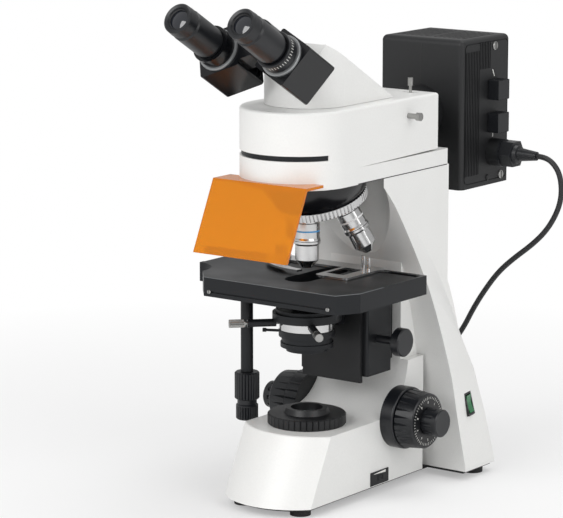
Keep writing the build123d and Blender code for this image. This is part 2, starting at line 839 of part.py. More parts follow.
with BuildPart() as x_drive_knob:
    add(turned(drive_axis, [(0, drive_bottom), (drive_low_knob_radius - 1, drive_bottom),
                            (drive_low_knob_radius, drive_bottom + 1),
                            (drive_low_knob_radius, drive_knob_split - 5),
                            (drive_low_knob_radius - 1.2, drive_knob_split - 4),
                            (drive_low_knob_radius - 1.2, drive_knob_split),
                            (drive_core_radius, drive_knob_split), (drive_core_radius, core_top),
                            (0, core_top)]))
    add(notches(drive_axis, 24, drive_low_knob_radius, 0.9, drive_bottom - 1,
                drive_knob_split - 6), mode=Mode.SUBTRACT)

# Condenser: a plate on the carriage, a fork, the lens body, the iris and the filter holder

plate_back = carriage_front - seat_gap
plate_front = plate_back - condenser_plate_thickness

with BuildPart() as condenser_slide:
    add(block(-condenser_plate_half_width, condenser_plate_half_width, plate_front, plate_back,
              condenser_plate_bottom, condenser_plate_top))
    add(dovetail(level(0, 0, carriage_front + condenser_tongue - seat_gap), 10, 8,
                 condenser_tongue, carriage_bottom, condenser_plate_top - 4))

with BuildPart() as condenser_fork:
    add(ring(level(0), fork_radius, condenser_radius + seat_gap, fork_bottom, fork_top))
    add(block(-14, 14, condenser_radius + 3, plate_front, fork_bottom - 8, fork_top))
    add(disc(level(0), condenser_radius + seat_gap, fork_bottom - 9, fork_top + 1),
        mode=Mode.SUBTRACT)
    for side in (-1, 1):
        arm_axis = Plane((axis_x, axis_y, centring_z), x_dir=(0, 0, 1),
                         z_dir=(side * sin(radians(centring_angle)),
                                -cos(radians(centring_angle)), 0))
        add(disc(arm_axis, 3.4, fork_radius - 3, centring_reach - 16))
        add(disc(arm_axis, centring_screw_radius + running_fit, condenser_radius, centring_reach),
            mode=Mode.SUBTRACT)

with BuildPart() as condenser_body:
    add(turned(level(0), [(0, condenser_top - 0.8), (top_lens_radius - 4, condenser_top - 0.8),
                          (top_lens_radius - 4, condenser_top), (top_lens_radius - 1, condenser_top),
                          (top_lens_radius, condenser_top - 1), (top_lens_radius, fork_top + 3),
                          (fork_radius - 3, fork_top + 3), (fork_radius - 3, fork_top),
                          (condenser_radius, fork_top), (condenser_radius, band_bottom),
                          (iris_core_radius, band_bottom), (iris_core_radius, iris_bottom - seat_gap),
                          (condenser_radius - 2, iris_bottom - seat_gap),
                          (condenser_radius - 2, filter_top + seat_gap),
                          (0, filter_top + seat_gap)]))
    add(disc(level(0, filter_pivot_x, filter_pivot_y), 4.2, filter_top + seat_gap, iris_bottom - seat_gap))
    add(disc(level(0, filter_pivot_x, filter_pivot_y), filter_pin_radius, filter_top - 4,
             filter_top + seat_gap))

with BuildPart() as iris_ring:
    add(ring(level(0), condenser_radius + 0.5, iris_core_radius + running_fit, iris_bottom,
             band_bottom - seat_gap))
    iris_lever = Plane((axis_x, axis_y, (iris_bottom + band_bottom) / 2), x_dir=(0, 0, 1),
                       z_dir=(-cos(radians(iris_lever_angle)), -sin(radians(iris_lever_angle)), 0))
    add(disc(iris_lever, 1.2, condenser_radius - 2, iris_lever_reach))
    add(disc(iris_lever, 1.8, iris_lever_reach, iris_lever_reach + 3))

with BuildPart() as filter_holder:
    add(turned(level(0), [(filter_glass_radius, filter_top), (condenser_radius - 1, filter_top),
                          (condenser_radius - 1, filter_top - 4),
                          (filter_glass_radius + 2, filter_top - 4),
                          (filter_glass_radius + 2, filter_bottom), (filter_glass_radius - 2, filter_bottom),
                          (filter_glass_radius - 2, filter_bottom + 2),
                          (filter_glass_radius, filter_bottom + 2)]))
    add(disc(level(0, filter_pivot_x, filter_pivot_y), 4.2, filter_top - 4, filter_top))
    add(disc(level(0, filter_pivot_x, filter_pivot_y), filter_pin_radius + running_fit,
             filter_top - 5, filter_top + 1), mode=Mode.SUBTRACT)


def centring_screw(side):
    """Knurled thumb screw in one arm of the fork."""
    plane = Plane((axis_x, axis_y, centring_z), x_dir=(0, 0, 1),
                  z_dir=(side * sin(radians(centring_angle)), -cos(radians(centring_angle)), 0))
    grip_start = centring_reach - 14
    with BuildPart() as screw:
        add(disc(plane, centring_screw_radius, condenser_radius + seat_gap, grip_start))
        add(disc(plane, centring_grip_radius, grip_start, centring_reach))
        add(notches(plane, 16, centring_grip_radius, 0.5, grip_start + 1, centring_reach + 1),
            mode=Mode.SUBTRACT)
    return screw.part


with BuildPart() as centring_screw_right:
    add(centring_screw(1))

with BuildPart() as centring_screw_left:
    add(centring_screw(-1))

with BuildPart() as condenser_knob:
    add(disc(pinion_axis, condenser_shaft_radius, 11, condenser_knob_x - 6))
    add(disc(pinion_axis, condenser_knob_radius, condenser_knob_x - 6, condenser_knob_x + 2))
    chamfer(condenser_knob.edges().filter_by(GeomType.CIRCLE).sort_by(Axis.X)[-1], length=1)

# Nosepiece: a black dome under the illuminator, the turret and four objectives

turret_axis = Plane((axis_x, axis_y, turret_apex_z), x_dir=(1, 0, 0),
                    z_dir=(0, sin(radians(turret_tilt)), -cos(radians(turret_tilt))))


def seat_depth(radius):
    """Distance along the turret axis of its cone-shaped underside."""
    slope = radians(turret_tilt)
    return (seat_distance - radius * sin(slope)) / cos(slope)


with BuildPart() as nosepiece_dome:
    with BuildSketch(Plane(turret_axis.origin, x_dir=turret_axis.x_dir, z_dir=-turret_axis.y_dir)):
        with BuildLine():
            Polyline((turret_radius - 1.5, turret_rim_top - seat_gap), (0, turret_rim_top - seat_gap),
                     (0, 5), (dome_radius, 5), (dome_radius, 24))
            ThreePointArc((dome_radius, 24), (dome_radius - 1.2, 42),
                          (turret_radius - 1.5, turret_rim_top - seat_gap))
        make_face()
    revolve(axis=Axis(turret_axis.origin, turret_axis.z_dir))
    add(block(-70, 70, -70, 110, nose_bottom, 400), mode=Mode.SUBTRACT)
    add(disc(level(0), filter_radius + 2, 200, nose_bottom), mode=Mode.SUBTRACT)
    add(disc(turret_axis, turret_spindle_radius, turret_rim_top - 1, seat_depth(0) - 3))


def objective_axis(turn):
    """Axis of one objective, turned about the turret axis from the working place."""
    aim = Vector(0, 0, -1).rotate(Axis((0, 0, 0), turret_axis.z_dir), turn)
    return Plane(turret_axis.origin, x_dir=turret_axis.z_dir.cross(aim) if turn else (1, 0, 0),
                 z_dir=aim)


objective_turns = (0, 90, 180, 270)

with BuildPart() as turret:
    add(turned(turret_axis, [(turret_spindle_radius + running_fit, turret_rim_top),
                             (turret_radius, turret_rim_top), (turret_radius, turret_rim_bottom),
                             (turret_radius - 2.5, seat_depth(turret_radius - 2.5)),
                             (turret_spindle_radius + running_fit,
                              seat_depth(turret_spindle_radius + running_fit))]))
    add(notches(turret_axis, turret_knurls, turret_radius, 0.9, turret_rim_top, turret_rim_bottom),
        mode=Mode.SUBTRACT)
    for turn in objective_turns:
        add(disc(objective_axis(turn), objective_thread + running_fit, seat_distance - 25,
                 seat_distance + 2), mode=Mode.SUBTRACT)
        add(disc(objective_axis(turn), objective_shoulder + 0.4, seat_distance - seat_cut,
                 seat_distance + 2), mode=Mode.SUBTRACT)


def objective(turn, length, radius, tip_radius):
    """Objective with a thread, a shoulder, a sleeve with a step and a tapered tip."""
    seat = seat_distance - seat_cut
    tip = seat_distance + length
    with BuildPart() as piece:
        add(turned(objective_axis(turn), [
            (0, seat - 4), (objective_thread, seat - 4), (objective_thread, seat),
            (objective_shoulder, seat), (objective_shoulder, seat + 2.6), (radius, seat + 3.2),
            (radius, seat + 0.38 * length), (radius + 0.7, seat + 0.42 * length),
            (radius + 0.7, seat + 0.5 * length), (radius - 0.8, seat + 0.54 * length),
            (radius - 0.8, tip - 7), (tip_radius + 1.6, tip - 2), (tip_radius, tip),
            (tip_radius - 1.4, tip), (tip_radius - 1.8, tip - 0.6), (0, tip - 0.6)]))
    return piece.part


with BuildPart() as objective_40x:
    add(objective(objective_turns[0], 41.4, 11.0, 4.6))

with BuildPart() as objective_10x:
    add(objective(objective_turns[1], 36.5, 11.0, 7.0))

with BuildPart() as objective_4x:
    add(objective(objective_turns[2], 27.0, 10.6, 6.5))

with BuildPart() as objective_100x:
    add(objective(objective_turns[3], 41.8, 10.8, 3.8))

# Ultraviolet shield: a clear sheet that hooks under the nose and leans towards the user

with BuildPart() as uv_shield:
    low_y = shield_top_y - shield_lean
    low_z = shield_top_z - shield_drop
    with BuildSketch(across(-shield_half_width)):
        with BuildLine():
            Polyline((shield_top_y, shield_top_z), (shield_rear_y, shield_top_z),
                     (shield_rear_y, shield_top_z - shield_thickness),
                     (shield_top_y + 1.4, shield_top_z - shield_thickness),
                     (low_y + shield_thickness, low_z), (low_y, low_z), close=True)
        make_face()
    extrude(amount=2 * shield_half_width)
    add(disc(nose_axis, box_half_width + seat_gap, low_z, shield_top_z + 1), mode=Mode.SUBTRACT)

# Lamp house: two ribbed shells on a tube behind the illuminator

tube_axis = behind(box_back, 0, lamp_tube_z)


def lamp_shell(side):
    """Half of the lamp house with its half of the mounting tube."""
    centre_y = (lamp_front + lamp_back) / 2
    depth = lamp_back - lamp_front
    with BuildPart() as shell:
        add(bar(level(0, 0, centre_y), 2 * lamp_half_width, depth, lamp_bottom, lamp_top))
        fillet(shell.edges().filter_by(Axis.Z) + shell.edges().group_by(Axis.Z)[-1],
               radius=lamp_edge)
        add(bar(level(0, 0, centre_y), 2 * (lamp_half_width - lamp_wall), depth - 2 * lamp_wall,
                lamp_bottom + lamp_wall, lamp_top - lamp_wall), mode=Mode.SUBTRACT)
        with BuildSketch(level(lamp_top - lamp_wall - 1, 0, centre_y)):
            with GridLocations(vent_pitch, 0, vent_count, 1):
                SlotOverall(depth - 26, vent_width, rotation=90)
        extrude(amount=lamp_wall + 2, mode=Mode.SUBTRACT)
        add(ring(tube_axis, lamp_tube_radius, lamp_tube_bore, 0, lamp_front + lamp_wall - box_back))
        add(disc(tube_axis, lamp_tube_bore, lamp_front - box_back - 1,
                 lamp_front - box_back + lamp_wall + 1), mode=Mode.SUBTRACT)
        if side > 0:
            add(block(-60, 0, 0, 400, 200, 400), mode=Mode.SUBTRACT)
        else:
            add(block(0, 60, 0, 400, 200, 400), mode=Mode.SUBTRACT)
    return shell.part


socket_axis = across(lamp_half_width, lamp_column_y, lamp_socket_z)

with BuildPart() as lamp_house_left:
    add(lamp_shell(-1))

with BuildPart() as lamp_house_right:
    add(lamp_shell(1))
    with BuildSketch(across(lamp_half_width, (lamp_front + lamp_back) / 2,
                            (lamp_bottom + lamp_top) / 2)):
        RectangleRounded(lamp_back - lamp_front - 8, lamp_top - lamp_bottom - 8, 5)
        RectangleRounded(lamp_back - lamp_front - 10, lamp_top - lamp_bottom - 10, 4,
                         mode=Mode.SUBTRACT)
    extrude(amount=-0.8, mode=Mode.SUBTRACT)
    for knob_z in lamp_knob_z:
        add(disc(across(0, lamp_column_y, knob_z), lamp_knob_shaft + running_fit,
                 lamp_half_width - lamp_wall - 1, lamp_half_width + 1), mode=Mode.SUBTRACT)
    add(ring(socket_axis, lamp_socket_radius, connector_pin_radius + running_fit, -lamp_wall,
             lamp_socket_length))


def lamp_knob(z):
    """Square ribbed knob on a short shaft."""
    face = across(lamp_half_width + 0.5, lamp_column_y, z)
    with BuildPart() as knob:
        add(bar(face, lamp_knob_size, lamp_knob_size, 0, lamp_knob_length, 1))
        with BuildSketch(face.offset(lamp_knob_length)):
            with GridLocations(3, lamp_knob_size, 5, 2):
                Rectangle(1.2, 1.2)
        extrude(amount=-lamp_knob_length, mode=Mode.SUBTRACT)
        add(disc(across(0, lamp_column_y, z), lamp_knob_shaft, lamp_half_width - lamp_wall - 3,
                 lamp_half_width + 0.5))
        add(disc(across(0, lamp_column_y, z), lamp_knob_shaft + 2,
                 lamp_half_width - lamp_wall - 3, lamp_half_width - lamp_wall - seat_gap))
    return knob.part


with BuildPart() as lamp_knob_upper:
    add(lamp_knob(lamp_knob_z[0]))

with BuildPart() as lamp_knob_lower:
    add(lamp_knob(lamp_knob_z[1]))

# Head: a wedge on a dovetail, the hinge and two prism housings that swing for the eye distance

slope = radians(tube_tilt)
view_axis = Vector(0, -cos(slope), sin(slope))
hinge_plane = Plane((axis_x, axis_y + hinge_y, hinge_z), x_dir=(1, 0, 0), z_dir=view_axis)
ridge_y = hinge_y + hinge_to_top * sin(slope)
ridge_z = hinge_z + hinge_to_top * cos(slope)

with BuildPart() as head_body:
    with BuildSketch(level(head_bottom)):
        with BuildLine():
            Polyline((head_half_width, 0), (head_half_width, head_back),
                     (-head_half_width, head_back), (-head_half_width, 0))
            ThreePointArc((-head_half_width, 0), (0, -head_front_radius), (head_half_width, 0))
        make_face()
    extrude(amount=ridge_z - head_bottom)
    with BuildSketch(across(-head_half_width)):
        with BuildLine():
            Polyline((ridge_y, ridge_z), (head_back, ridge_z - (head_back - ridge_y) * sin(slope) / cos(slope)),
                     (head_back, head_bottom),
                     (ridge_y - (ridge_z - head_bottom) * sin(slope) / cos(slope), head_bottom),
                     close=True)
        make_face()
    extrude(amount=2 * head_half_width, mode=Mode.INTERSECT)
    add(disc(level(0), dovetail_radius, box_top - box_wall - 2, head_bottom))
    add(disc(level(0), dovetail_radius - 5, box_top - box_wall - 2, head_bottom + 8),
        mode=Mode.SUBTRACT)

with BuildPart() as binocular_hinge:
    add(disc(hinge_plane, hinge_disc_radius, 0, hinge_disc_thickness))
    add(disc(hinge_plane, hinge_pin_radius, hinge_disc_thickness, housing_front + seat_gap))
    add(disc(hinge_plane, hinge_pin_radius + 5, housing_front + seat_gap, housing_front + 4))

housing_back = hinge_disc_thickness + seat_gap
housing_middle = (housing_back + housing_front) / 2


def swing_plane(side):
    """Hinge plane turned so that its own x points at one eye tube."""
    droop = radians(eye_droop)
    across_eyes = Vector(side, 0, 0) * cos(droop)
    downwards = Vector(0, -sin(slope), -cos(slope)) * sin(droop)
    return Plane(hinge_plane.origin, x_dir=across_eyes + downwards, z_dir=view_axis)


def eye_axis(side):
    """Axis of one eye tube, measured from the hinge plane."""
    plane = swing_plane(side)
    return Plane(plane.origin + plane.x_dir * eye_arm, x_dir=plane.x_dir, z_dir=view_axis)


def prism_housing(side, boss_start, boss_end, sleeve_radius):
    """Prism box with its share of the hinge and the sleeve that holds an eyepiece."""
    plane = swing_plane(side)
    width = housing_outer - housing_inner
    with BuildPart() as housing:
        with BuildSketch(plane.offset(housing_back)):
            with Locations(((housing_inner + housing_outer) / 2, 0)):
                RectangleRounded(width, 2 * housing_half_height, 2.5)
        extrude(amount=housing_front - housing_back)
        with BuildSketch(plane.offset(boss_start)):
            Circle(housing_boss_radius)
            with Locations(((housing_inner + 3) / 2, 0)):
                Rectangle(housing_inner + 3, 2 * housing_boss_radius - 3)
        extrude(amount=boss_end - boss_start)
        add(disc(plane, hinge_pin_radius + running_fit, housing_back - 1, housing_front + 1),
            mode=Mode.SUBTRACT)
        add(disc(eye_axis(side), sleeve_radius, housing_front, sleeve_top))
        add(disc(eye_axis(side), eye_sleeve_radius + running_fit, sleeve_top - 26, sleeve_top + 1),
            mode=Mode.SUBTRACT)
    return housing.part


with BuildPart() as prism_housing_right:
    add(prism_housing(1, housing_back, housing_middle - seat_gap / 2, diopter_radius - 2.2))

with BuildPart() as prism_housing_left:
    add(prism_housing(-1, housing_middle + seat_gap / 2, housing_front, diopter_radius))

with BuildPart() as diopter_ring:
    add(ring(eye_axis(1), diopter_radius, diopter_radius - 2.2 + running_fit,
             housing_front + 2.5, sleeve_top))
    chamfer(diopter_ring.edges().filter_by(GeomType.CIRCLE).sort_by(SortBy.RADIUS)[-2:], length=0.8)


def eyepiece(side):
    """Eyepiece: a sleeve, a stepped barrel and a rolled eye end."""
    seat = sleeve_top + seat_gap
    with BuildPart() as piece:
        add(turned(eye_axis(side), [
            (0, seat - 22), (eye_sleeve_radius, seat - 22), (eye_sleeve_radius, seat),
            (eyepiece_radius - 1.2, seat), (eyepiece_radius - 1.2, seat + 2.5),
            (eyepiece_radius, seat + 3.5), (eyepiece_radius, eye_end - 14),
            (eyepiece_radius - 1.2, eye_end - 12.5), (eyepiece_radius - 1.2, eye_end - 9),
            (eyepiece_radius - 0.2, eye_end - 8), (eyepiece_radius - 0.6, eye_end - 1),
            (eyepiece_radius - 1.8, eye_end), (eyepiece_radius - 4, eye_end - 0.8),
            (eyepiece_radius - 5.5, eye_end - 4), (0, eye_end - 4)]))
    return piece.part


with BuildPart() as eyepiece_right:
    add(eyepiece(1))

with BuildPart() as eyepiece_left:
    add(eyepiece(-1))

# Lead of the lamp house: connector, the free stretch, the put-away coil and its plug

connector_base = lamp_half_width + lamp_socket_length
connector_axis = across(0, lamp_column_y, lamp_socket_z)

with BuildPart() as lamp_connector:
    add(disc(connector_axis, connector_pin_radius, connector_base - 12, connector_base))
    add(disc(connector_axis, lamp_socket_radius, connector_base, connector_base + 2))
    with BuildSketch(connector_axis.offset(connector_base + 2)):
        RegularPolygon(lamp_socket_radius + 0.4, 6)
    extrude(amount=12)
    add(turned(connector_axis, [(0, connector_base + 14), (9.0, connector_base + 14),
                                (8.0, connector_base + 17), (6.2, connector_base + 17.5),
                                (4.0, connector_end), (0, connector_end)]))

coil_x = -51.0
coil_y = lamp_column_y
coil_height = 2 * lead_radius * coil_turns_high
coil_half_width = lead_radius * coil_turns_across

# Corners of the lead's route, as (x, z) in the plane behind the arm where it hangs
lead_route = [(connector_end, lamp_socket_z), (100, 281), (109, 276.5), (115.5, 268), (118.3, 256),
              (117.6, 243), (112.5, 229), (102.5, 213.5), (88, 199.5), (69.5, 185.5), (53, 171),
              (39, 153), (26.2, 133.6), (15.5, 113.5), (1.5, 95), (-10.5, 76), (-18, 57),
              (coil_x + coil_radius, 38), (coil_x + coil_radius, coil_height)]

lead_points = [Vector(axis_x + x, axis_y + lamp_column_y, z) for x, z in lead_route]
lead_runs = [lead_points[i + 1] - lead_points[i] for i in range(len(lead_points) - 1)]
lead_radii = []
for before, after in zip(lead_runs, lead_runs[1:]):
    half_turn = radians(before.get_angle(after)) / 2
    lead_radii.append(0.45 * min(before.length, after.length) / tan(half_turn))

with BuildPart() as lamp_lead:
    with BuildLine() as lead_path:
        FilletPolyline(*lead_points, radius=lead_radii)
    with BuildSketch(across(connector_end, lamp_column_y, lamp_socket_z)):
        Circle(lead_radius)
    sweep()

print("lead radii", [round(radius, 1) for radius in lead_radii])
lead_length = sum(edge.length for edge in lead_path.edges())
print("lead length", round(lead_length, 1), "volume", round(lamp_lead.part.volume),
      "section by length", round(pi * lead_radius ** 2 * lead_length))

coil_axis = level(0, coil_x, coil_y)
tail_x = coil_x - coil_radius - coil_half_width + lead_radius
tail_z = coil_height - lead_radius
plug_start = coil_y + 22

with BuildPart() as lead_coil:
    add(ring(coil_axis, coil_radius + coil_half_width, coil_radius - coil_half_width, 0, coil_height))
    add(disc(behind(coil_y, tail_x, tail_z), lead_radius, 0, plug_start - coil_y))

with BuildPart() as lead_plug:
    add(turned(behind(plug_start, tail_x, tail_z), [
        (0, 0), (4, 0), (5.5, 12), (plug_radius, 13), (plug_radius, 30), (plug_radius - 1, 31),
        (plug_radius - 1, plug_length), (plug_radius - 2.2, plug_length),
        (plug_radius - 2.2, plug_length - 8), (0, plug_length - 8)]))

# Every finished piece, written under its own name

os.makedirs("parts", exist_ok=True)

pieces = dict(
    base_casting=base_casting, base_plate=base_plate, rubber_feet=rubber_feet,
    arm_column=arm_column, arm_head=arm_head, panel_inserts=panel_inserts,
    power_rocker=power_rocker, brightness_wheel=brightness_wheel,
    collector_ring=collector_ring, field_lens=field_lens, focus_guide=focus_guide,
    focus_collar=focus_collar, tension_ring=tension_ring, coarse_knob_right=coarse_knob_right,
    coarse_knob_left=coarse_knob_left, fine_knob_right=fine_knob_right,
    fine_knob_left=fine_knob_left, stage_carriage=stage_carriage, stage_support=stage_support,
    stage_plate=stage_plate, slide_rail=slide_rail, slide_holder=slide_holder,
    slide_finger=slide_finger, drive_tube=drive_tube, y_drive_knob=y_drive_knob,
    x_drive_knob=x_drive_knob, condenser_slide=condenser_slide, condenser_fork=condenser_fork,
    condenser_body=condenser_body, iris_ring=iris_ring, filter_holder=filter_holder,
    centring_screw_right=centring_screw_right, centring_screw_left=centring_screw_left,
    condenser_knob=condenser_knob, nosepiece_dome=nosepiece_dome, turret=turret,
    objective_4x=objective_4x, objective_10x=objective_10x, objective_40x=objective_40x,
    objective_100x=objective_100x, illuminator_box=illuminator_box, filter_turret=filter_turret,
    shutter_rod=shutter_rod, aperture_lever=aperture_lever, uv_shield=uv_shield,
    lamp_house_left=lamp_house_left, lamp_house_right=lamp_house_right,
    lamp_knob_upper=lamp_knob_upper, lamp_knob_lower=lamp_knob_lower,
    lamp_connector=lamp_connector, lamp_lead=lamp_lead, lead_coil=lead_coil,
    lead_plug=lead_plug, head_body=head_body, binocular_hinge=binocular_hinge,
    prism_housing_right=prism_housing_right, prism_housing_left=prism_housing_left,
    diopter_ring=diopter_ring, eyepiece_right=eyepiece_right, eyepiece_left=eyepiece_left)

for label, piece in pieces.items():
    piece.part.label = label
    export_step(piece.part, f"parts/{label}.step")
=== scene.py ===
from math import cos, pi, radians, sin

import bmesh
import bpy
from bpy.props import FloatProperty, FloatVectorProperty, IntProperty, PointerProperty
from bpy.types import Operator, Panel, PropertyGroup
from mathutils import Matrix, Vector


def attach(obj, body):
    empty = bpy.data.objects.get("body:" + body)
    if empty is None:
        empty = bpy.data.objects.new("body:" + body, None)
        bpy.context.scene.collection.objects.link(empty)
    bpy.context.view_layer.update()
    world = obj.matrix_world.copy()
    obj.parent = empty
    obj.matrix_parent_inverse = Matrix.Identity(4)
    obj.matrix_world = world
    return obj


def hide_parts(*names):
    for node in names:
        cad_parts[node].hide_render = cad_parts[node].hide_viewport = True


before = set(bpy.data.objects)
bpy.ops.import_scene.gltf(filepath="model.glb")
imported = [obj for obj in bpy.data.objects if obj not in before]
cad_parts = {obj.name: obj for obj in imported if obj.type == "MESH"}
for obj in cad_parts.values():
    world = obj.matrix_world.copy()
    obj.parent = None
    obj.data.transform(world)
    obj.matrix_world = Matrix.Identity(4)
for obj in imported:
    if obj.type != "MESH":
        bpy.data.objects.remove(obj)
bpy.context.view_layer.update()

bl_info = {
    "name": "Compound microscope",
    "version": (1, 0, 0),
    "blender": (4, 5, 0),
    "location": "3D View > Sidebar > Microscope",
    "description": "Finishes and small parts of an upright compound microscope on its packed frame",
    "category": "Object",
}

# The optical axis on the bench. Places below are millimetres from it: +X right, -Y to the user.
OPTICAL_AXIS = Vector((0.0315, -0.055, 0.0))

# Head: the eye tubes lean back by TUBE_TILT and swing about HINGE, at the end of an arm
TUBE_TILT = radians(30)
HINGE = (0.0, -27.5, 383.5)
HINGE_CAP = 56.0
EYE_DROOP = radians(25)
EYE_ARM = 36.0
EYE_COLLAR = 52.0
EYE_RING_MARKS = 62.2
EYE_LENS = 112.0

# Nosepiece: every objective's axis passes through the apex, on the turret's leaning axis
TURRET_APEX = (0.0, 0.0, 318.0)
TURRET_TILT = radians(20)
OBJECTIVE_SEAT = 71.9
# Name, turn on the turret, length, sleeve radius, tip radius and colour band
OBJECTIVES = (("40x", 0.0, 41.4, 11.0, 4.6, "band_blue"),
              ("10x", pi / 2, 36.5, 11.0, 7.0, "band_yellow"),
              ("4x", pi, 27.0, 10.6, 6.5, "band_red"),
              ("100x", 3 * pi / 2, 41.8, 10.8, 3.8, "band_white"))
BAND_AT = 0.22
BAND_WIDTH = 1.4
GRIP_LINE_AT = 0.44
GRIP_LINE_WIDTH = 0.5

# Dials on the outer faces of the coarse knobs
DIAL_FACE = 78.0
FOCUS_AXIS = (72.4, 64.5)
DIAL_INNER = 13.0
DIAL_OUTER = 22.6
DIAL_THICKNESS = 0.3
DIAL_TICK_RADIUS = 20.6
DIGIT_HEIGHT = 2.3
DIGIT_RADIUS = 16.6
DIGIT_PROUD = 0.32
TICK_PROUD = 0.35

# Stand: side face of the arm head, place of the brightness wheel's wedge, underside and inlet
ARM_HEAD_SIDE = 50
ARM_HEAD_SEAM = 280.5
WEDGE = (46.82, 44.5, 19.2)
PLATE_UNDERSIDE = 6.0
INLET_BACK = 165.5

# Stage: outline of the top edge that shows, and the two rods behind it
STAGE_FRONT = -51
STAGE_LEFT = -73
STAGE_CORNER = 66
STAGE_RIGHT = 77.5
STAGE_EDGE = 194.7
STAGE_SCREWS = (-67, 59)
STAGE_SCREW_HEIGHT = 182.3
RAIL_BACK = 61.0
ROD_HEIGHTS = (190.6, 193.2)
ROD_LENGTH = 28.5
BAND_LOW = 150.2
BAND_HIGH = 157.4

# Lamp house: its right, front and top faces, and the pitch of its ribs
LAMP_SIDE = 44.5
LAMP_FRONT = 173
LAMP_TOP = 386.4
RIB_PITCH = 2.6
RIB_SECTION = (1.0, 0.9)

# Lamp lead: it hangs in one upright plane and is put away in a coil of two layers
LEAD_PLANE = 224.0
LEAD_EXIT_HEIGHT = 281
COIL_MIDDLE = -51
COIL_OUTER = 34
COIL_INNER = 24
COIL_CROSSING = 23.8
COIL_TAIL = -85
UPPER_LAYER_HEIGHT = 7.5
LOWER_LAYER_HEIGHT = 2.6
LAYER_DROP = 5
LOWER_LAYER_PITCH = 5
# Turns counted from the first one: where the layers start and end
COIL_LEAD_IN = 0.1
COIL_START = 0.11
UPPER_LAYER_END = 2.2
LOWER_LAYER_START = 2.6
COIL_END = 4.5

# Camera of the photograph: focal length and frame in pixels, turn, rise and place
FOCAL_PIXELS = 2890
FRAME_PIXELS = 563
SENSOR_WIDTH = 36.0
CAMERA_TURN = radians(36.7)
CAMERA_RISE = radians(10.85)
CAMERA_PLACE = (1442.4, -1971.9, 679.2)

# Studio: name, place, watts and width in metres of each lamp, and the level of the world's light
STUDIO_LAMPS = (("key", (-250, -1900, 1250), 22.0, 1.2),
                ("side", (1500, -300, 900), 7.5, 1.0),
                ("top", (200, 500, 1900), 10.0, 1.2))
LAMP_AIM = (0, 30, 200)
WORLD_LEVEL = 0.56
FLOOR_HALF = 6
FLOOR_TONE = 0.86
FADE_NEAR = 0.25
FADE_FAR = 0.8


def place(x, y, z):
    """Point in metres from millimetres measured from the optical axis."""
    return OPTICAL_AXIS + Vector((x, y, z)) / 1000


def linear(hex_colour):
    """Linear colour of an sRGB hex value such as #E4E1DB."""
    channels = [int(hex_colour[i:i + 2], 16) / 255 for i in (1, 3, 5)]
    return tuple(c / 12.92 if c <= 0.04045 else ((c + 0.055) / 1.055) ** 2.4 for c in channels)


def colour_setting(name, description, hex_colour):
    """Colour property with its default from a hex value."""
    return FloatVectorProperty(name=name, description=description, subtype="COLOR", size=3,
                               min=0.0, max=1.0, default=linear(hex_colour))


class MicroscopeFinish(PropertyGroup):
    """Colours that a user would change."""

    enamel: colour_setting("Enamel", "White enamel of the stand", "#E8E8E6")
    black: colour_setting("Black", "Moulded black parts", "#0E0F12")
    crackle: colour_setting("Crackle", "Crackle-finish black enamel", "#141517")
    stage: colour_setting("Stage", "Anodised stage", "#1B1D20")
    shield: colour_setting("Shield", "Orange acrylic of the shield", "#F09400")
    switch: colour_setting("Switch", "Green lens of the mains switch", "#0F6B3A")
    marks: colour_setting("Marks", "Printed scale marks", "#E9E9E4")


class MicroscopeSizes(PropertyGroup):
    """Sizes of the small parts."""

    lead: FloatProperty(name="Lead", description="Diameter of the lamp lead", default=0.005,
                        unit="LENGTH")
    coil_points: IntProperty(name="Coil points", description="Spline points in each coil turn",
                             default=16, min=12)
    dial_ticks: IntProperty(name="Dial ticks", description="Marks on a coarse knob's dial",
                            default=50, min=10)


# Node and mesh helpers

def add_node(tree, kind, links=None, **settings):
    """Node of one kind with its settings; links gives sockets or constants by input name."""
    node = tree.nodes.new(kind)
    for name, value in settings.items():
        setattr(node, name, value)
    for name, value in (links or {}).items():
        if isinstance(value, bpy.types.NodeSocket):
            tree.links.new(value, node.inputs[name])
        else:
            node.inputs[name].default_value = value
    return node


def blank_material(name):
    """Material with an empty tree and its output node."""
    material = bpy.data.materials.new(name)
    material.use_nodes = True
    material.node_tree.nodes.clear()
    return material, add_node(material.node_tree, "ShaderNodeOutputMaterial")


def finish(name, colour, roughness, grain_mm, depth_mm, shade=0.06, spread=0.06, **sockets):
    """Opaque finish whose grain is noise of a real size, seen in colour, gloss and relief."""
    material, output = blank_material(name)
    tree = material.node_tree
    place_on = add_node(tree, "ShaderNodeTexCoord").outputs["Object"]
    grain = add_node(tree, "ShaderNodeTexNoise",
                     {"Vector": place_on, "Scale": 1000 / grain_mm, "Detail": 3.0})
    cloud = add_node(tree, "ShaderNodeTexNoise",
                     {"Vector": place_on, "Scale": 18.0, "Detail": 2.0})
    blend = add_node(tree, "ShaderNodeMath", {0: grain.outputs["Fac"], 1: cloud.outputs["Fac"]},
                     operation="MULTIPLY")
    tone = add_node(tree, "ShaderNodeMapRange",
                    {"Value": blend.outputs[0], "From Min": 0.1, "From Max": 0.42,
                     "To Min": 1 - shade, "To Max": 1 + shade / 2})
    base = add_node(tree, "ShaderNodeVectorMath",
                    {0: tuple(colour), "Scale": tone.outputs["Result"]}, operation="SCALE")
    gloss = add_node(tree, "ShaderNodeMapRange",
                     {"Value": cloud.outputs["Fac"], "From Min": 0.3, "From Max": 0.7,
                      "To Min": roughness - spread, "To Max": roughness + spread})
    relief = add_node(tree, "ShaderNodeBump",
                      {"Height": grain.outputs["Fac"], "Distance": depth_mm / 1000,
                       "Strength": 0.6})
    shader = add_node(tree, "ShaderNodeBsdfPrincipled",
                      {"Base Color": base.outputs["Vector"], "Roughness": gloss.outputs["Result"],
                       "Normal": relief.outputs["Normal"], **sockets})
    tree.links.new(shader.outputs[0], output.inputs["Surface"])
    return material


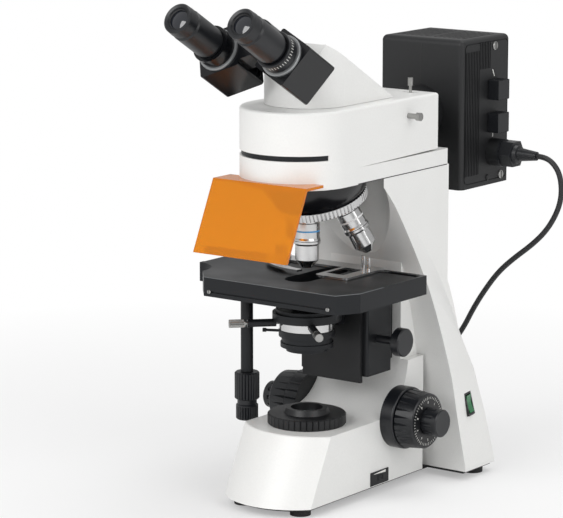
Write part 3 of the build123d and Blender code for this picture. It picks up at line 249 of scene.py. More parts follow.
def clear(name, colour, roughness, ior, coat=0.0, transmission=1.0):
    """Clear finish: cast acrylic or polished glass; a dyed one scatters part of its light."""
    material, output = blank_material(name)
    tree = material.node_tree
    place_on = add_node(tree, "ShaderNodeTexCoord").outputs["Object"]
    waves = add_node(tree, "ShaderNodeTexNoise", {"Vector": place_on, "Scale": 30.0})
    relief = add_node(tree, "ShaderNodeBump", {"Height": waves.outputs["Fac"],
                                               "Distance": 0.0002, "Strength": 0.1})
    shader = add_node(tree, "ShaderNodeBsdfPrincipled",
                      {"Base Color": (*colour, 1), "Roughness": roughness, "IOR": ior,
                       "Transmission Weight": transmission, "Coat Weight": coat,
                       "Normal": relief.outputs["Normal"]})
    tree.links.new(shader.outputs[0], output.inputs["Surface"])
    return material


def make_finishes(colours):
    """Every finish on the microscope by its short name."""
    return {
        # Stoved enamel on cast light alloy: satin, with a faint orange peel
        "enamel": finish("stoved_enamel", colours.enamel, 0.36, 1.6, 0.03, 0.03),
        # Injection-moulded ABS with a fine spark-eroded grain, drawn at 0.5 mm
        "black": finish("moulded_abs", colours.black, 0.46, 0.5, 0.03),
        # Wrinkle enamel: a net of small ridges that breaks the highlight
        "crackle": finish("wrinkle_enamel", colours.crackle, 0.5, 0.9, 0.16, 0.25),
        # Bead-blasted and anodised plate: even, dark and slightly metallic
        "stage": finish("anodised_plate", colours.stage, 0.42, 0.4, 0.012, 0.08, Metallic=0.45),
        # Paler edge that the cutter leaves round an anodised plate
        "edge": finish("milled_edge", linear("#777A7C"), 0.38, 0.5, 0.01, Metallic=0.7),
        # Glossier ABS of the knobs and eyepieces, a tone bluer than the housings
        "knob": finish("knob_abs", linear("#121418"), 0.38, 0.5, 0.02),
        # Smooth stoved black on the prism boxes and the dome: deep, with a clear highlight
        "gloss_black": finish("gloss_black_enamel", linear("#0C0D10"), 0.22, 1.6, 0.01, 0.04, 0.03),
        # Eye lens: opaque blue-black that paints the shade of the dark inside of its tube seen
        # through the glass, with a coated surface
        "eye_lens_shade": finish("eye_lens_painted_shade", linear("#10141D"), 0.07, 2.0, 0.001, 0.02, 0.02,
                            **{"Coat Weight": 1.0}),
        # Plated brass: bright, with faint haze
        "chrome": finish("satin_chrome", linear("#CFCFCF"), 0.19, 0.8, 0.003, 0.05, 0.05,
                         Metallic=1.0),
        # Turned stainless steel
        "steel": finish("turned_steel", linear("#A9A9A7"), 0.32, 0.4, 0.006, Metallic=1.0),
        # Turned bronze of the guide rods
        "bronze": finish("turned_bronze", linear("#A8743C"), 0.3, 0.4, 0.006, Metallic=1.0),
        # Nitrile rubber of the feet
        "rubber": finish("nitrile_rubber", linear("#1A1A1B"), 0.62, 0.7, 0.03),
        # Soft PVC of the lead
        "lead": finish("cable_pvc", linear("#1C1D1F"), 0.45, 0.8, 0.015),
        # Lens of the rocker: gloss polycarbonate
        "switch": finish("switch_lens", colours.switch, 0.2, 2.0, 0.01, Metallic=0.0),
        # Screen-printed marks; the dark one also paints the shade in screw recesses and in seams
        # between parts
        "mark": finish("scale_print", colours.marks, 0.5, 0.5, 0.005),
        "black_print_and_shade": finish("shade_and_print_black", linear("#202020"), 0.5, 0.5, 0.005),
        # Colour code bands of the objectives, stoved paint in a groove
        "band_red": finish("red_band", linear("#B0242A"), 0.35, 0.5, 0.004),
        "band_yellow": finish("yellow_band", linear("#D8B21C"), 0.35, 0.5, 0.004),
        "band_blue": finish("blue_band", linear("#4C9AD6"), 0.35, 0.5, 0.004),
        "band_white": finish("white_band", linear("#E8E8E8"), 0.35, 0.5, 0.004),
        # Pale grey anodised ring under each eye tube
        "pale": finish("pale_anodised", linear("#9A9C9D"), 0.35, 0.5, 0.006, Metallic=0.5),
        # Cast acrylic, orange all through
        "shield": clear("orange_acrylic", colours.shield, 0.04, 1.49, transmission=0.5),
        # Coated optical glass
        "glass": clear("coated_glass", linear("#DCE8E6"), 0.02, 1.52, 0.3),
    }


FINISHES = {}

NODE_FINISH = {
    "enamel": "base_casting arm_column arm_head illuminator_box head_body".split(),
    "gloss_black": "nosepiece_dome prism_housing_right prism_housing_left".split(),
    "black": "panel_inserts collector_ring".split(),
    "crackle": "lamp_house_left lamp_house_right base_plate condenser_slide focus_guide".split(),
    "stage": ("stage_carriage stage_support stage_plate condenser_fork condenser_body drive_tube "
              "filter_turret slide_rail iris_ring filter_holder").split(),
    "knob": ("focus_collar tension_ring coarse_knob_right coarse_knob_left fine_knob_right "
             "fine_knob_left y_drive_knob x_drive_knob condenser_knob lamp_knob_upper "
             "lamp_knob_lower brightness_wheel diopter_ring lamp_connector lead_plug "
             "binocular_hinge eyepiece_right eyepiece_left").split(),
    "chrome": ("slide_holder slide_finger turret objective_4x objective_10x objective_40x "
               "objective_100x").split(),
    "steel": "shutter_rod aperture_lever centring_screw_right centring_screw_left".split(),
    "glass": ["field_lens"],
    "shield": ["uv_shield"],
    "rubber": ["rubber_feet"],
    "lead": ["lamp_lead", "lead_coil"],
    "switch": ["power_rocker"],
}


def give(piece, name, finish_name, body):
    """Names a finished mesh object, paints it and lets it ride on its body."""
    piece.name = name
    piece.data.name = name
    if finish_name:
        piece.data.materials.clear()
        piece.data.materials.append(FINISHES[finish_name])
    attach(piece, body)
    return piece


def mesh_object(name, bm):
    """Object at the origin from a bmesh with outward faces."""
    bmesh.ops.recalc_face_normals(bm, faces=bm.faces)
    mesh = bpy.data.meshes.new(name)
    bm.to_mesh(mesh)
    bm.free()
    piece = bpy.data.objects.new(name, mesh)
    bpy.context.scene.collection.objects.link(piece)
    return piece


def axis_matrix(origin, axis, across=(1, 0, 0)):
    """Matrix whose own Z runs along the axis from a point given in millimetres."""
    z = Vector(axis).normalized()
    x = (Vector(across) - z * z.dot(Vector(across))).normalized()
    turn = Matrix((x, z.cross(x), z)).transposed().to_4x4()
    return Matrix.Translation(place(*origin)) @ turn


def lathe(name, matrix, profile, segments=96):
    """Closed solid turned from (radius, distance) points in millimetres."""
    bm = bmesh.new()
    rings = []
    for radius, distance in profile:
        if radius == 0:
            rings.append([bm.verts.new((0, 0, distance / 1000))])
            continue
        rings.append([bm.verts.new((radius / 1000 * cos(2 * pi * i / segments),
                                    radius / 1000 * sin(2 * pi * i / segments),
                                    distance / 1000)) for i in range(segments)])
    pairs = list(zip(rings, rings[1:]))
    if len(rings[0]) > 1:
        pairs.append((rings[-1], rings[0]))
    for low, high in pairs:
        for i in range(segments):
            j = (i + 1) % segments
            corners = [low[i % len(low)], low[j % len(low)], high[j % len(high)],
                       high[i % len(high)]]
            corners = list(dict.fromkeys(corners))
            if len(corners) > 2:
                bm.faces.new(corners)
    bm.transform(matrix)
    piece = mesh_object(name, bm)
    for face in piece.data.polygons:
        face.use_smooth = True
    piece.data.set_sharp_from_angle(angle=radians(35))
    return piece


def slab(name, matrix, points, thickness):
    """Plate from an outline in millimetres, raised along the matrix's own Z."""
    bm = bmesh.new()
    base = bm.faces.new([bm.verts.new((x / 1000, y / 1000, 0)) for x, y in points])
    raised = bmesh.ops.extrude_face_region(bm, geom=[base])
    bmesh.ops.translate(bm, vec=(0, 0, thickness / 1000),
                        verts=[v for v in raised["geom"] if isinstance(v, bmesh.types.BMVert)])
    bm.transform(matrix)
    return mesh_object(name, bm)


def bar_points(width, height):
    """Corners of a rectangle about its middle."""
    return [(-width / 2, -height / 2), (width / 2, -height / 2), (width / 2, height / 2),
            (-width / 2, height / 2)]


def lettering(name, matrix, words, height_mm):
    """Raised numerals as a mesh, centred on the matrix's origin."""
    curve = bpy.data.curves.new(name, "FONT")
    curve.body = words
    curve.size = height_mm / 1000 * 1.4
    curve.align_x = "CENTER"
    curve.align_y = "CENTER"
    curve.extrude = 0.00008
    curve.resolution_u = 3
    source = bpy.data.objects.new(name, curve)
    bpy.context.scene.collection.objects.link(source)
    mesh = bpy.data.meshes.new_from_object(source.evaluated_get(
        bpy.context.evaluated_depsgraph_get()))
    bpy.data.objects.remove(source)
    mesh.transform(matrix)
    piece = bpy.data.objects.new(name, mesh)
    bpy.context.scene.collection.objects.link(piece)
    return piece


# Geometry Nodes for marks and ribs that repeat

def bars_tree():
    """Tree that sets bars in a row or round an arc; every fifth may be longer."""
    tree = bpy.data.node_groups.new("repeated_bars", "GeometryNodeTree")
    face = tree.interface
    for name, kind, value in (("Count", "NodeSocketInt", 10), ("Pitch", "NodeSocketFloat", 0.001),
                              ("Radius", "NodeSocketFloat", 0.0),
                              ("Step Angle", "NodeSocketFloat", 0.0),
                              ("Bar Size", "NodeSocketVector", (0.001, 0.001, 0.001)),
                              ("Long Every", "NodeSocketInt", 5),
                              ("Long Scale", "NodeSocketFloat", 1.0)):
        socket = face.new_socket(name, in_out="INPUT", socket_type=kind)
        socket.default_value = value
    face.new_socket("Material", in_out="INPUT", socket_type="NodeSocketMaterial")
    face.new_socket("Geometry", in_out="OUTPUT", socket_type="NodeSocketGeometry")
    ask = add_node(tree, "NodeGroupInput").outputs
    points = add_node(tree, "GeometryNodePoints", {"Count": ask["Count"]})
    index = add_node(tree, "GeometryNodeInputIndex").outputs[0]
    last = add_node(tree, "ShaderNodeMath", {0: ask["Count"], 1: 1.0}, operation="SUBTRACT")
    half = add_node(tree, "ShaderNodeMath", {0: last.outputs[0], 1: 0.5}, operation="MULTIPLY")
    step = add_node(tree, "ShaderNodeMath", {0: index, 1: half.outputs[0]}, operation="SUBTRACT")
    along = add_node(tree, "ShaderNodeMath", {0: step.outputs[0], 1: ask["Pitch"]},
                     operation="MULTIPLY")
    angle = add_node(tree, "ShaderNodeMath", {0: step.outputs[0], 1: ask["Step Angle"]},
                     operation="MULTIPLY")
    x = add_node(tree, "ShaderNodeMath", {0: angle.outputs[0]}, operation="COSINE")
    y = add_node(tree, "ShaderNodeMath", {0: angle.outputs[0]}, operation="SINE")
    x_arc = add_node(tree, "ShaderNodeMath", {0: x.outputs[0], 1: ask["Radius"]},
                     operation="MULTIPLY")
    y_arc = add_node(tree, "ShaderNodeMath", {0: y.outputs[0], 1: ask["Radius"]},
                     operation="MULTIPLY")
    y_all = add_node(tree, "ShaderNodeMath", {0: y_arc.outputs[0], 1: along.outputs[0]},
                     operation="ADD")
    where = add_node(tree, "ShaderNodeCombineXYZ", {"X": x_arc.outputs[0], "Y": y_all.outputs[0]})
    set_points = add_node(tree, "GeometryNodeSetPosition",
                          {"Geometry": points.outputs[0], "Position": where.outputs[0]})
    rest = add_node(tree, "ShaderNodeMath", {0: index, 1: ask["Long Every"]}, operation="MODULO")
    is_long = add_node(tree, "ShaderNodeMath", {0: rest.outputs[0], 1: 0.5},
                       operation="LESS_THAN")
    stretch = add_node(tree, "ShaderNodeMapRange",
                       {"Value": is_long.outputs[0], "To Min": 1.0, "To Max": ask["Long Scale"]})
    scale = add_node(tree, "ShaderNodeCombineXYZ",
                     {"X": stretch.outputs["Result"], "Y": 1.0, "Z": 1.0})
    turn = add_node(tree, "ShaderNodeCombineXYZ", {"Z": angle.outputs[0]})
    cube = add_node(tree, "GeometryNodeMeshCube", {"Size": ask["Bar Size"]})
    bars = add_node(tree, "GeometryNodeInstanceOnPoints",
                    {"Points": set_points.outputs[0], "Instance": cube.outputs["Mesh"],
                     "Rotation": turn.outputs[0], "Scale": scale.outputs[0]})
    real = add_node(tree, "GeometryNodeRealizeInstances", {"Geometry": bars.outputs[0]})
    painted = add_node(tree, "GeometryNodeSetMaterial",
                       {"Geometry": real.outputs[0], "Material": ask["Material"]})
    add_node(tree, "NodeGroupOutput", {"Geometry": painted.outputs[0]})
    return tree


def repeated_bars(name, matrix, finish_name, body, size_mm, count, pitch_mm=0.0,
                  radius_mm=0.0, step_angle=0.0, long_every=1, long_scale=1.0):
    """Bars from the tree as one plain mesh; a bar's own X points outwards on an arc."""
    tree = bpy.data.node_groups.get("repeated_bars") or bars_tree()
    host = bpy.data.objects.new(name + "_host", bpy.data.meshes.new(name + "_host"))
    bpy.context.scene.collection.objects.link(host)
    modifier = host.modifiers.new("bars", "NODES")
    modifier.node_group = tree
    values = {"Count": count, "Pitch": pitch_mm / 1000, "Radius": radius_mm / 1000,
              "Step Angle": step_angle, "Bar Size": [s / 1000 for s in size_mm],
              "Long Every": long_every, "Long Scale": long_scale,
              "Material": FINISHES[finish_name]}
    for item in tree.interface.items_tree:
        if item.in_out == "INPUT" and item.name in values:
            modifier[item.identifier] = values[item.name]
    host.update_tag()
    mesh = bpy.data.meshes.new_from_object(
        host.evaluated_get(bpy.context.evaluated_depsgraph_get()))
    bpy.data.objects.remove(host)
    mesh.transform(matrix)
    piece = bpy.data.objects.new(name, mesh)
    bpy.context.scene.collection.objects.link(piece)
    return give(piece, name, None, body)


def screw(name, point, axis, radius_mm, body, finish_name="steel", recess="slot"):
    """Screw head standing on its face, with a slot or a hexagon socket drawn as a thin dark slab of
    painted shade.
    """
    matrix = axis_matrix(point, axis, (0, 0, 1) if abs(axis[2]) < 0.9 else (1, 0, 0))
    head = lathe(name, matrix, [(0, 0), (radius_mm, 0), (radius_mm, 0.7),
                                (radius_mm * 0.86, 1.1), (0, 1.2)], 32)
    give(head, name, finish_name, body)
    if recess == "slot":
        outline = bar_points(radius_mm * 1.7, radius_mm * 0.26)
    else:
        outline = [(radius_mm * 0.45 * cos(pi * i / 3), radius_mm * 0.45 * sin(pi * i / 3))
                   for i in range(6)]
    # The recess is not cut: this thin dark slab on the head is painted shade
    mark = slab(name + "_recess_shade", matrix @ Matrix.Translation((0, 0, 0.0011)), outline, 0.14)
    give(mark, name + "_recess_shade", "black_print_and_shade", body)


def strip(name, start, end, outwards, height_mm, finish_name, body):
    """Thin strip between two points in millimetres, just proud of the face that it lies on."""
    run = Vector(end) - Vector(start)
    middle = (Vector(start) + Vector(end)) / 2 + Vector(outwards).normalized() * 0.02
    piece = slab(name, axis_matrix(middle, outwards, run), bar_points(run.length, height_mm), 0.06)
    return give(piece, name, finish_name, body)


def swing_axis(side):
    """Direction across one housing from the hinge towards its eye tube."""
    up = Vector((0, sin(TUBE_TILT), cos(TUBE_TILT)))
    return Vector((side, 0, 0)) * cos(EYE_DROOP) - up * sin(EYE_DROOP)


VIEW = Vector((0, -cos(TUBE_TILT), sin(TUBE_TILT)))


def eye_matrix(side):
    """Matrix on one eye tube's axis, in line with the hinge plane."""
    origin = Vector(HINGE) + swing_axis(side) * EYE_ARM
    return axis_matrix(origin, VIEW, swing_axis(side))


def objective_matrix(turn):
    """Matrix on one objective's axis, its own Z running from the apex to the tip."""
    axis = Vector((0, sin(TURRET_TILT), -cos(TURRET_TILT)))
    aim = Matrix.Rotation(turn, 3, axis) @ Vector((0, 0, -1))
    return axis_matrix(TURRET_APEX, aim)


# Operators, one for each group of pieces

class SceneStage(Operator):
    """Pale floor, soft studio lamps and the camera at the photograph's angle."""

    bl_idname = "microscope.scene_stage"
    bl_label = "Floor, lamps and camera"

    def execute(self, context):
        scene = context.scene
        view = bpy.data.cameras.new("view")
        view.sensor_width = SENSOR_WIDTH
        view.lens = SENSOR_WIDTH * FOCAL_PIXELS / FRAME_PIXELS
        view.clip_end = 20.0
        camera = bpy.data.objects.new("view", view)
        scene.collection.objects.link(camera)
        aim = Vector((-sin(CAMERA_TURN) * cos(CAMERA_RISE), cos(CAMERA_TURN) * cos(CAMERA_RISE),
                      -sin(CAMERA_RISE)))
        camera.location = place(*CAMERA_PLACE)
        camera.rotation_euler = aim.to_track_quat("-Z", "Y").to_euler()
        scene.camera = camera

        floor_mesh = bpy.data.meshes.new("floor")
        floor_mesh.from_pydata([(x * FLOOR_HALF, y * FLOOR_HALF, 0)
                                for x, y in ((-1, -1), (1, -1), (1, 1), (-1, 1))], [],
                               [(0, 1, 2, 3)])
        floor = bpy.data.objects.new("floor", floor_mesh)
        scene.collection.objects.link(floor)
        material, output = blank_material("pale_floor")
        tree = material.node_tree
        place_on = add_node(tree, "ShaderNodeTexCoord").outputs["Object"]
        away = add_node(tree, "ShaderNodeVectorMath", {0: place_on}, operation="LENGTH")
        fade = add_node(tree, "ShaderNodeMapRange",
                        {"Value": away.outputs["Value"], "From Min": FADE_NEAR,
                         "From Max": FADE_FAR, "To Min": 0.35, "To Max": 1.0})
        seen = add_node(tree, "ShaderNodeLightPath")
        direct = add_node(tree, "ShaderNodeMath",
                          {0: fade.outputs["Result"], 1: seen.outputs["Is Camera Ray"]},
                          operation="MULTIPLY")
        paint = add_node(tree, "ShaderNodeBsdfDiffuse", {"Color": (*[FLOOR_TONE] * 3, 1)})
        white = add_node(tree, "ShaderNodeEmission", {"Color": (1, 1, 1, 1), "Strength": 1.0})
        mix = add_node(tree, "ShaderNodeMixShader",
                       {0: direct.outputs[0], 1: paint.outputs[0], 2: white.outputs[0]})
        tree.links.new(mix.outputs[0], output.inputs["Surface"])
        floor.data.materials.append(material)

        world = bpy.data.worlds.new("studio")
        scene.world = world
        world.use_nodes = True
        world.node_tree.nodes.clear()
        tree = world.node_tree
        seen = add_node(tree, "ShaderNodeLightPath")
        plain = add_node(tree, "ShaderNodeMath",
                         {0: seen.outputs["Is Camera Ray"], 1: seen.outputs["Is Transmission Ray"]},
                         operation="MAXIMUM")
        strength = add_node(tree, "ShaderNodeMapRange",
                            {"Value": plain.outputs[0], "To Min": WORLD_LEVEL, "To Max": 1.0})
        sky = add_node(tree, "ShaderNodeBackground",
                       {"Color": (1, 1, 1, 1), "Strength": strength.outputs["Result"]})
        ground = add_node(tree, "ShaderNodeOutputWorld")
        tree.links.new(sky.outputs[0], ground.inputs["Surface"])

        for name, point, power, size in STUDIO_LAMPS:
            lamp = bpy.data.lights.new(name, "AREA")
            lamp.energy = power
            lamp.size = size
            holder = bpy.data.objects.new(name, lamp)
            scene.collection.objects.link(holder)
            holder.location = place(*point)
            look = place(*LAMP_AIM) - holder.location
            holder.rotation_euler = look.to_track_quat("-Z", "Y").to_euler()
        scene.view_settings.view_transform = "Standard"
        return {"FINISHED"}


class LampLead(Operator):
    """Lead of the lamp house: one smooth line from the connector to the put-away coil."""

    bl_idname = "microscope.lamp_lead"
    bl_label = "Lamp lead"

    def execute(self, context):
        sizes = context.scene.microscope_sizes
        route = [(92, LEAD_EXIT_HEIGHT), (100, LEAD_EXIT_HEIGHT), (109, 276.5), (115.5, 268),
                 (118.3, 256), (117.6, 243),
                 (112.5, 229), (102.5, 213.5), (88, 199.5), (69.5, 185.5), (53, 171), (39, 153),
                 (26.2, 133.6), (15.5, 113.5), (1.5, 95), (-10.5, 76), (-18, 57), (-20, 38)]
        points = [place(x, LEAD_PLANE, z) for x, z in route]
        points += [place(-19, LEAD_PLANE - 1, 24), place(-18, LEAD_PLANE - 5, 14),
                   place(-18.3, LEAD_PLANE - 12, 9)]
        # Clockwise turns: inwards on the upper layer, then outwards on the bench
        step = 1 / sizes.coil_points
        shrink = (COIL_OUTER - COIL_INNER) / (UPPER_LAYER_END - COIL_LEAD_IN)
        fall = LAYER_DROP / (LOWER_LAYER_START - UPPER_LAYER_END)
        turns = COIL_START
        while turns <= COIL_END:
            if turns < UPPER_LAYER_END:
                radius = COIL_OUTER - (turns - COIL_LEAD_IN) * shrink
                height = UPPER_LAYER_HEIGHT
            elif turns < LOWER_LAYER_START:
                radius = COIL_CROSSING
                height = UPPER_LAYER_HEIGHT - (turns - UPPER_LAYER_END) * fall
            else:
                radius = COIL_INNER + (turns - LOWER_LAYER_START) * LOWER_LAYER_PITCH
                height = LOWER_LAYER_HEIGHT
            # A spline cuts inside its points, so they stand a little wide
            wide = radius / (1 - (pi * step) ** 2 / 3)
            angle = -2 * pi * turns
            points.append(place(COIL_MIDDLE + wide * cos(angle), LEAD_PLANE + wide * sin(angle),
                                height))
            turns += step
        points += [place(COIL_TAIL, LEAD_PLANE + out, height)
                   for out, height in ((2, 3.2), (9, 5), (16, 7), (22, 7.5))]
        line = bpy.data.curves.new("lamp_lead_line", "CURVE")
        line.dimensions = "3D"
        line.bevel_depth = sizes.lead / 2
        line.bevel_resolution = 5
        line.resolution_u = 6
        line.use_fill_caps = True
        spline = line.splines.new("NURBS")
        spline.points.add(len(points) - 1)
        for control, point in zip(spline.points, points):
            control.co = (*point, 1.0)
        spline.order_u = 3
        spline.use_endpoint_u = True
        lead = bpy.data.objects.new("lamp_lead_cable", line)
        context.scene.collection.objects.link(lead)
        line.materials.append(FINISHES["lead"])
        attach(lead, "stand")
        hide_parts("lamp_lead", "lead_coil")
        relief = lathe("lead_relief", axis_matrix((80, LEAD_PLANE, LEAD_EXIT_HEIGHT), (1, 0, 0)),
                       [(2.6, 0), (5.0, 0), (5.0, 4), (4.4, 5), (4.4, 7), (4.0, 8), (4.0, 12),
                        (3.2, 14), (3.0, 19), (2.6, 20)], 32)
        give(relief, "lead_relief", "black", "stand")
        return {"FINISHED"}


class FrameFinishes(Operator):
    """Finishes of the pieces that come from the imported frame."""

    bl_idname = "microscope.frame_finishes"
    bl_label = "Frame finishes"

    def execute(self, context):
        FINISHES.update(make_finishes(context.scene.microscope_finish))
        for finish_name, nodes in NODE_FINISH.items():
            for node in nodes:
                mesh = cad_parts[node].data
                mesh.materials.clear()
                mesh.materials.append(FINISHES[finish_name])
        return {"FINISHED"}


class OpticsDetails(Operator):
    """Colour bands, front lenses and grips of the objectives, and the eye lenses."""

    bl_idname = "microscope.optics_details"
    bl_label = "Objectives and lenses"

    def execute(self, context):
        for name, turn, length, radius, tip, band in OBJECTIVES:
            matrix = objective_matrix(turn)
            for suffix, share, width, proud, paint in (
                    ("colour", BAND_AT, BAND_WIDTH, 0.08, band),
                    ("grip_line", GRIP_LINE_AT, GRIP_LINE_WIDTH, 0.74, "black_print_and_shade")):
                start = OBJECTIVE_SEAT + share * length
                ring = lathe(f"objective_{name}_{suffix}", matrix,
                             [(radius + proud, start), (radius + proud, start + width),
                              (radius - 0.5, start + width), (radius - 0.5, start)], 64)
                give(ring, f"objective_{name}_{suffix}", paint, "nosepiece")
            front = OBJECTIVE_SEAT + 0.7 + length
            lens = lathe(f"objective_{name}_lens", matrix,
                         [(0, front - 0.7), (tip - 1.9, front - 0.7), (tip - 1.9, front - 0.4),
                          (tip * 0.4, front - 0.15), (0, front - 0.1)], 32)
            give(lens, f"objective_{name}_lens", "glass", "nosepiece")
        for side, label, body in ((1, "right", "eye_right"), (-1, "left", "eye_left")):
            matrix = eye_matrix(side)
            # Opaque lens: its blue-black is painted shade of the inside of the tube
            lens = lathe(f"eye_lens_{label}", matrix,
                         [(0, EYE_LENS), (8.4, EYE_LENS), (8.4, EYE_LENS + 0.6),
                          (6.0, EYE_LENS + 1.4), (3, EYE_LENS + 1.9), (0, EYE_LENS + 2)], 48)
            give(lens, f"eye_lens_{label}", "eye_lens_shade", body)
            retainer = lathe(f"eye_lens_ring_{label}", matrix,
                             [(8.2, EYE_LENS), (9.6, EYE_LENS), (9.6, EYE_LENS + 1.2),
                              (9.2, EYE_LENS + 1.7), (8.4, EYE_LENS + 1.2)], 48)
            give(retainer, f"eye_lens_ring_{label}", "black", body)
            collar = lathe(f"eye_tube_collar_{label}", matrix,
                           [(14.6, EYE_COLLAR), (18.5, EYE_COLLAR), (18.5, EYE_COLLAR + 1.6),
                            (18.1, EYE_COLLAR + 2.2), (14.6, EYE_COLLAR + 2.2)], 64)
            give(collar, f"eye_tube_collar_{label}", "pale", body)
        return {"FINISHED"}


class HeadDetails(Operator):
    """Scale on the hinge, marks on the eye ring and the clamp screw of the head."""

    bl_idname = "microscope.head_details"
    bl_label = "Head"

    def execute(self, context):
        hinge = axis_matrix(HINGE, VIEW)
        cap = Matrix.Translation((0, 0, HINGE_CAP / 1000 + 0.00005))
        repeated_bars("hinge_scale", hinge @ cap, "mark", "head",
                      (1.6, 0.35, 0.1), 11, radius_mm=9.6, step_angle=radians(12),
                      long_every=5, long_scale=1.4)
        ring = Matrix.Translation((0, 0, EYE_RING_MARKS / 1000))
        repeated_bars("eye_ring_scale", eye_matrix(1) @ ring, "mark", "diopter",
                      (0.12, 0.45, 3.0), 15, radius_mm=16.6,
                      step_angle=radians(9))
        screw("hinge_screw", Vector(HINGE) + VIEW * HINGE_CAP, VIEW, 3.0, "head", "steel", "hex")
        return {"FINISHED"}


class StandDetails(Operator):
    """Dials of the coarse knobs, switch marks, base screws and the mains pins."""

    bl_idname = "microscope.stand_details"
    bl_label = "Stand"

    def execute(self, context):
        ticks = context.scene.microscope_sizes.dial_ticks
        for side, label in ((1, "right"), (-1, "left")):
            face = axis_matrix((side * DIAL_FACE, *FOCUS_AXIS), (side, 0, 0), (0, 0, 1))
            ring = lathe(f"dial_{label}", face,
                         [(DIAL_INNER, 0), (DIAL_OUTER, 0), (DIAL_OUTER, DIAL_THICKNESS),
                          (DIAL_INNER, DIAL_THICKNESS)])
            give(ring, f"dial_{label}", "black", "coarse_focus")
            above = Matrix.Translation((0, 0, TICK_PROUD / 1000))
            repeated_bars(f"dial_ticks_{label}", face @ above, "mark", "coarse_focus",
                          (2.0, 0.32, 0.1), ticks, radius_mm=DIAL_TICK_RADIUS,
                          step_angle=2 * pi / ticks, long_every=5, long_scale=1.5)
            for digit in range(10):
                turn = Matrix.Rotation(-2 * pi * digit / 10, 4, "Z")
                spot = (Matrix.Translation((DIGIT_RADIUS / 1000, 0, DIGIT_PROUD / 1000))
                        @ Matrix.Rotation(-pi / 2, 4, "Z"))
                figure = lettering(f"dial_{label}_{digit}", face @ turn @ spot, str(digit),
                                   DIGIT_HEIGHT)
                give(figure, f"dial_{label}_{digit}", "mark", "coarse_focus")
        wedge = slab("brightness_wedge", axis_matrix(WEDGE, (1, 0, 0), (0, 1, 0)),
                     [(-9, -0.15), (9, -1.1), (9, 1.1), (-9, 0.15)], 0.06)
        give(wedge, "brightness_wedge", "mark", "stand")
        # Dark strips on the arm head's sides: painted shade of the seam between arm head and column
        for side, label in ((1, "right"), (-1, "left")):
            strip(f"arm_head_seam_shade_{label}", (side * ARM_HEAD_SIDE, 5, ARM_HEAD_SEAM),
                  (side * ARM_HEAD_SIDE, 141, ARM_HEAD_SEAM), (side, 0, 0), 0.8, "black_print_and_shade",
                  "stand")
        for index, (x, y) in enumerate(((34, -30), (-34, -30), (30, 100), (-30, 100))):
            screw(f"base_screw_{index}", (x, y, PLATE_UNDERSIDE), (0, 0, -1), 3.2, "stand",
                  "steel", "hex")
        for index, (x, z) in enumerate(((-7, 32), (7, 32), (0, 37))):
            back = axis_matrix((x, INLET_BACK, z), (0, 1, 0), (1, 0, 0))
            pin = slab(f"mains_pin_{index}", back, bar_points(2.0, 4.0), 6.0)
            give(pin, f"mains_pin_{index}", "steel", "stand")
        return {"FINISHED"}


class StageDetails(Operator):
    """Stage edge, scales, guide rods and screws."""

    bl_idname = "microscope.stage_details"
    bl_label = "Stage"

    def execute(self, context):
        for index, x in enumerate(STAGE_SCREWS):
            screw(f"stage_screw_{index}", (x, STAGE_FRONT, STAGE_SCREW_HEIGHT), (0, -1, 0), 1.9,
                  "stage", "steel")
        for index, z in enumerate(ROD_HEIGHTS):
            rod = lathe(f"guide_rod_{index}", axis_matrix((44.6, RAIL_BACK, z), (1, 0, 0)),
                        [(0, 0), (1.1, 0), (1.1, ROD_LENGTH), (0, ROD_LENGTH)], 24)
            give(rod, f"guide_rod_{index}", "bronze", "stage")
        outline = ((STAGE_LEFT, STAGE_FRONT), (STAGE_CORNER, STAGE_FRONT), (STAGE_RIGHT, -30),
                   (STAGE_RIGHT, 4))
        for name, start, end in zip(("front", "corner", "right"), outline, outline[1:]):
            run = Vector((*end, 0)) - Vector((*start, 0))
            strip(f"stage_edge_{name}", (*start, STAGE_EDGE), (*end, STAGE_EDGE),
                  run.cross(Vector((0, 0, 1))), 0.5, "edge", "stage")
        band = lathe("condenser_band", axis_matrix((0, 0, 0), (0, 0, 1)),
                     [(24.15, BAND_LOW), (24.15, BAND_HIGH), (23.4, BAND_HIGH),
                      (23.4, BAND_LOW)])
        give(band, "condenser_band", "chrome", "condenser")
        repeated_bars("rail_scale", axis_matrix((-60, RAIL_BACK, 195.32), (0, 0, 1), (0, 1, 0)),
                      "mark", "holder", (2.0, 0.25, 0.06), 76, pitch_mm=1.0,
                      long_every=5, long_scale=1.6)
        return {"FINISHED"}


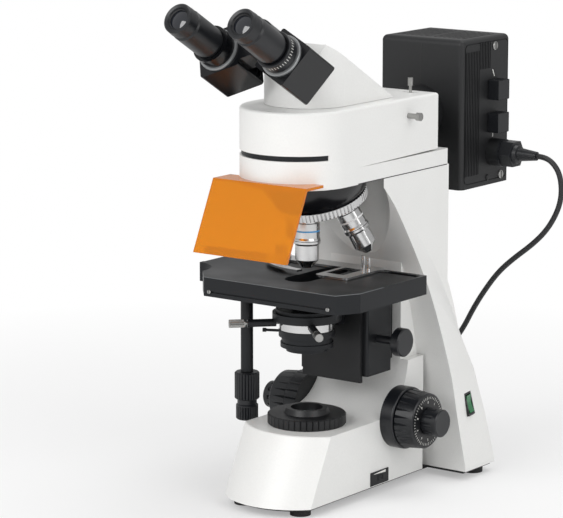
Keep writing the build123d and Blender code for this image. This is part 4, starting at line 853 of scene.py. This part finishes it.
class LampHouseDetails(Operator):
    """Cooling ribs, index marks and screws of the lamp house."""

    bl_idname = "microscope.lamp_house_details"
    bl_label = "Lamp house"

    def execute(self, context):
        for name, y, z, length, count in (("lamp_ribs", 190, 319, 112.0, 9),
                                          ("lamp_ribs_upper", 210.5, 370, 24.0, 7)):
            face = axis_matrix((LAMP_SIDE + 0.1, y, z), (1, 0, 0), (0, 0, 1))
            repeated_bars(name, face, "crackle", "stand", (length, *RIB_SECTION),
                          count, pitch_mm=RIB_PITCH)
        for name, y, z, radius, *head in (("low", 238, 258.5, 3.8), ("high", 226, 377.5, 3.8),
                                          ("black", 216, 258.5, 2.6, "black", "hex")):
            screw(f"lamp_screw_{name}", (LAMP_SIDE, y, z), (1, 0, 0), radius, "stand", *head)
        for index, (z, tall, lean) in enumerate(((353.0, 7.0, 25), (296.8, 4.4, 0))):
            face = axis_matrix((LAMP_SIDE + 0.02, 224, z), (1, 0, 0), (0, 0, 1))
            mark = slab(f"lamp_index_{index}", face @ Matrix.Rotation(radians(lean), 4, "Z"),
                        bar_points(tall, 1.0), 0.15)
            give(mark, f"lamp_index_{index}", "mark", "stand")
        # Dark strips on the joint of the two lamp-house halves: painted shade of the seam
        strip("lamp_seam_shade_front", (0, LAMP_FRONT, 256), (0, LAMP_FRONT, 382), (0, -1, 0), 0.8,
              "black_print_and_shade", "stand")
        strip("lamp_seam_shade_top", (0, 177, LAMP_TOP), (0, 248, LAMP_TOP), (0, 0, 1), 0.8,
              "black_print_and_shade", "stand")
        return {"FINISHED"}


OPERATORS = (SceneStage, FrameFinishes, LampLead, OpticsDetails, HeadDetails, StandDetails,
             StageDetails, LampHouseDetails)


class MicroscopePanel(Panel):
    """Steps and settings in the sidebar."""

    bl_idname = "VIEW3D_PT_microscope"
    bl_label = "Microscope"
    bl_space_type = "VIEW_3D"
    bl_region_type = "UI"
    bl_category = "Microscope"

    def draw(self, context):
        for group in (context.scene.microscope_finish, context.scene.microscope_sizes):
            for name in group.bl_rna.properties.keys():
                if name not in ("rna_type", "name"):
                    self.layout.prop(group, name)
        for operator in OPERATORS:
            self.layout.operator(operator.bl_idname)


CLASSES = (MicroscopeFinish, MicroscopeSizes, *OPERATORS, MicroscopePanel)


def register():
    """Adds the classes and the scene's settings."""
    for item in CLASSES:
        bpy.utils.register_class(item)
    bpy.types.Scene.microscope_finish = PointerProperty(type=MicroscopeFinish)
    bpy.types.Scene.microscope_sizes = PointerProperty(type=MicroscopeSizes)


def unregister():
    """Takes the classes and the settings away again."""
    del bpy.types.Scene.microscope_sizes
    del bpy.types.Scene.microscope_finish
    for item in reversed(CLASSES):
        bpy.utils.unregister_class(item)


def main():
    """Makes everything in order."""
    register()
    for operator in OPERATORS:
        group, name = operator.bl_idname.split(".")
        getattr(getattr(bpy.ops, group), name)()


if __name__ == "__main__":
    main()
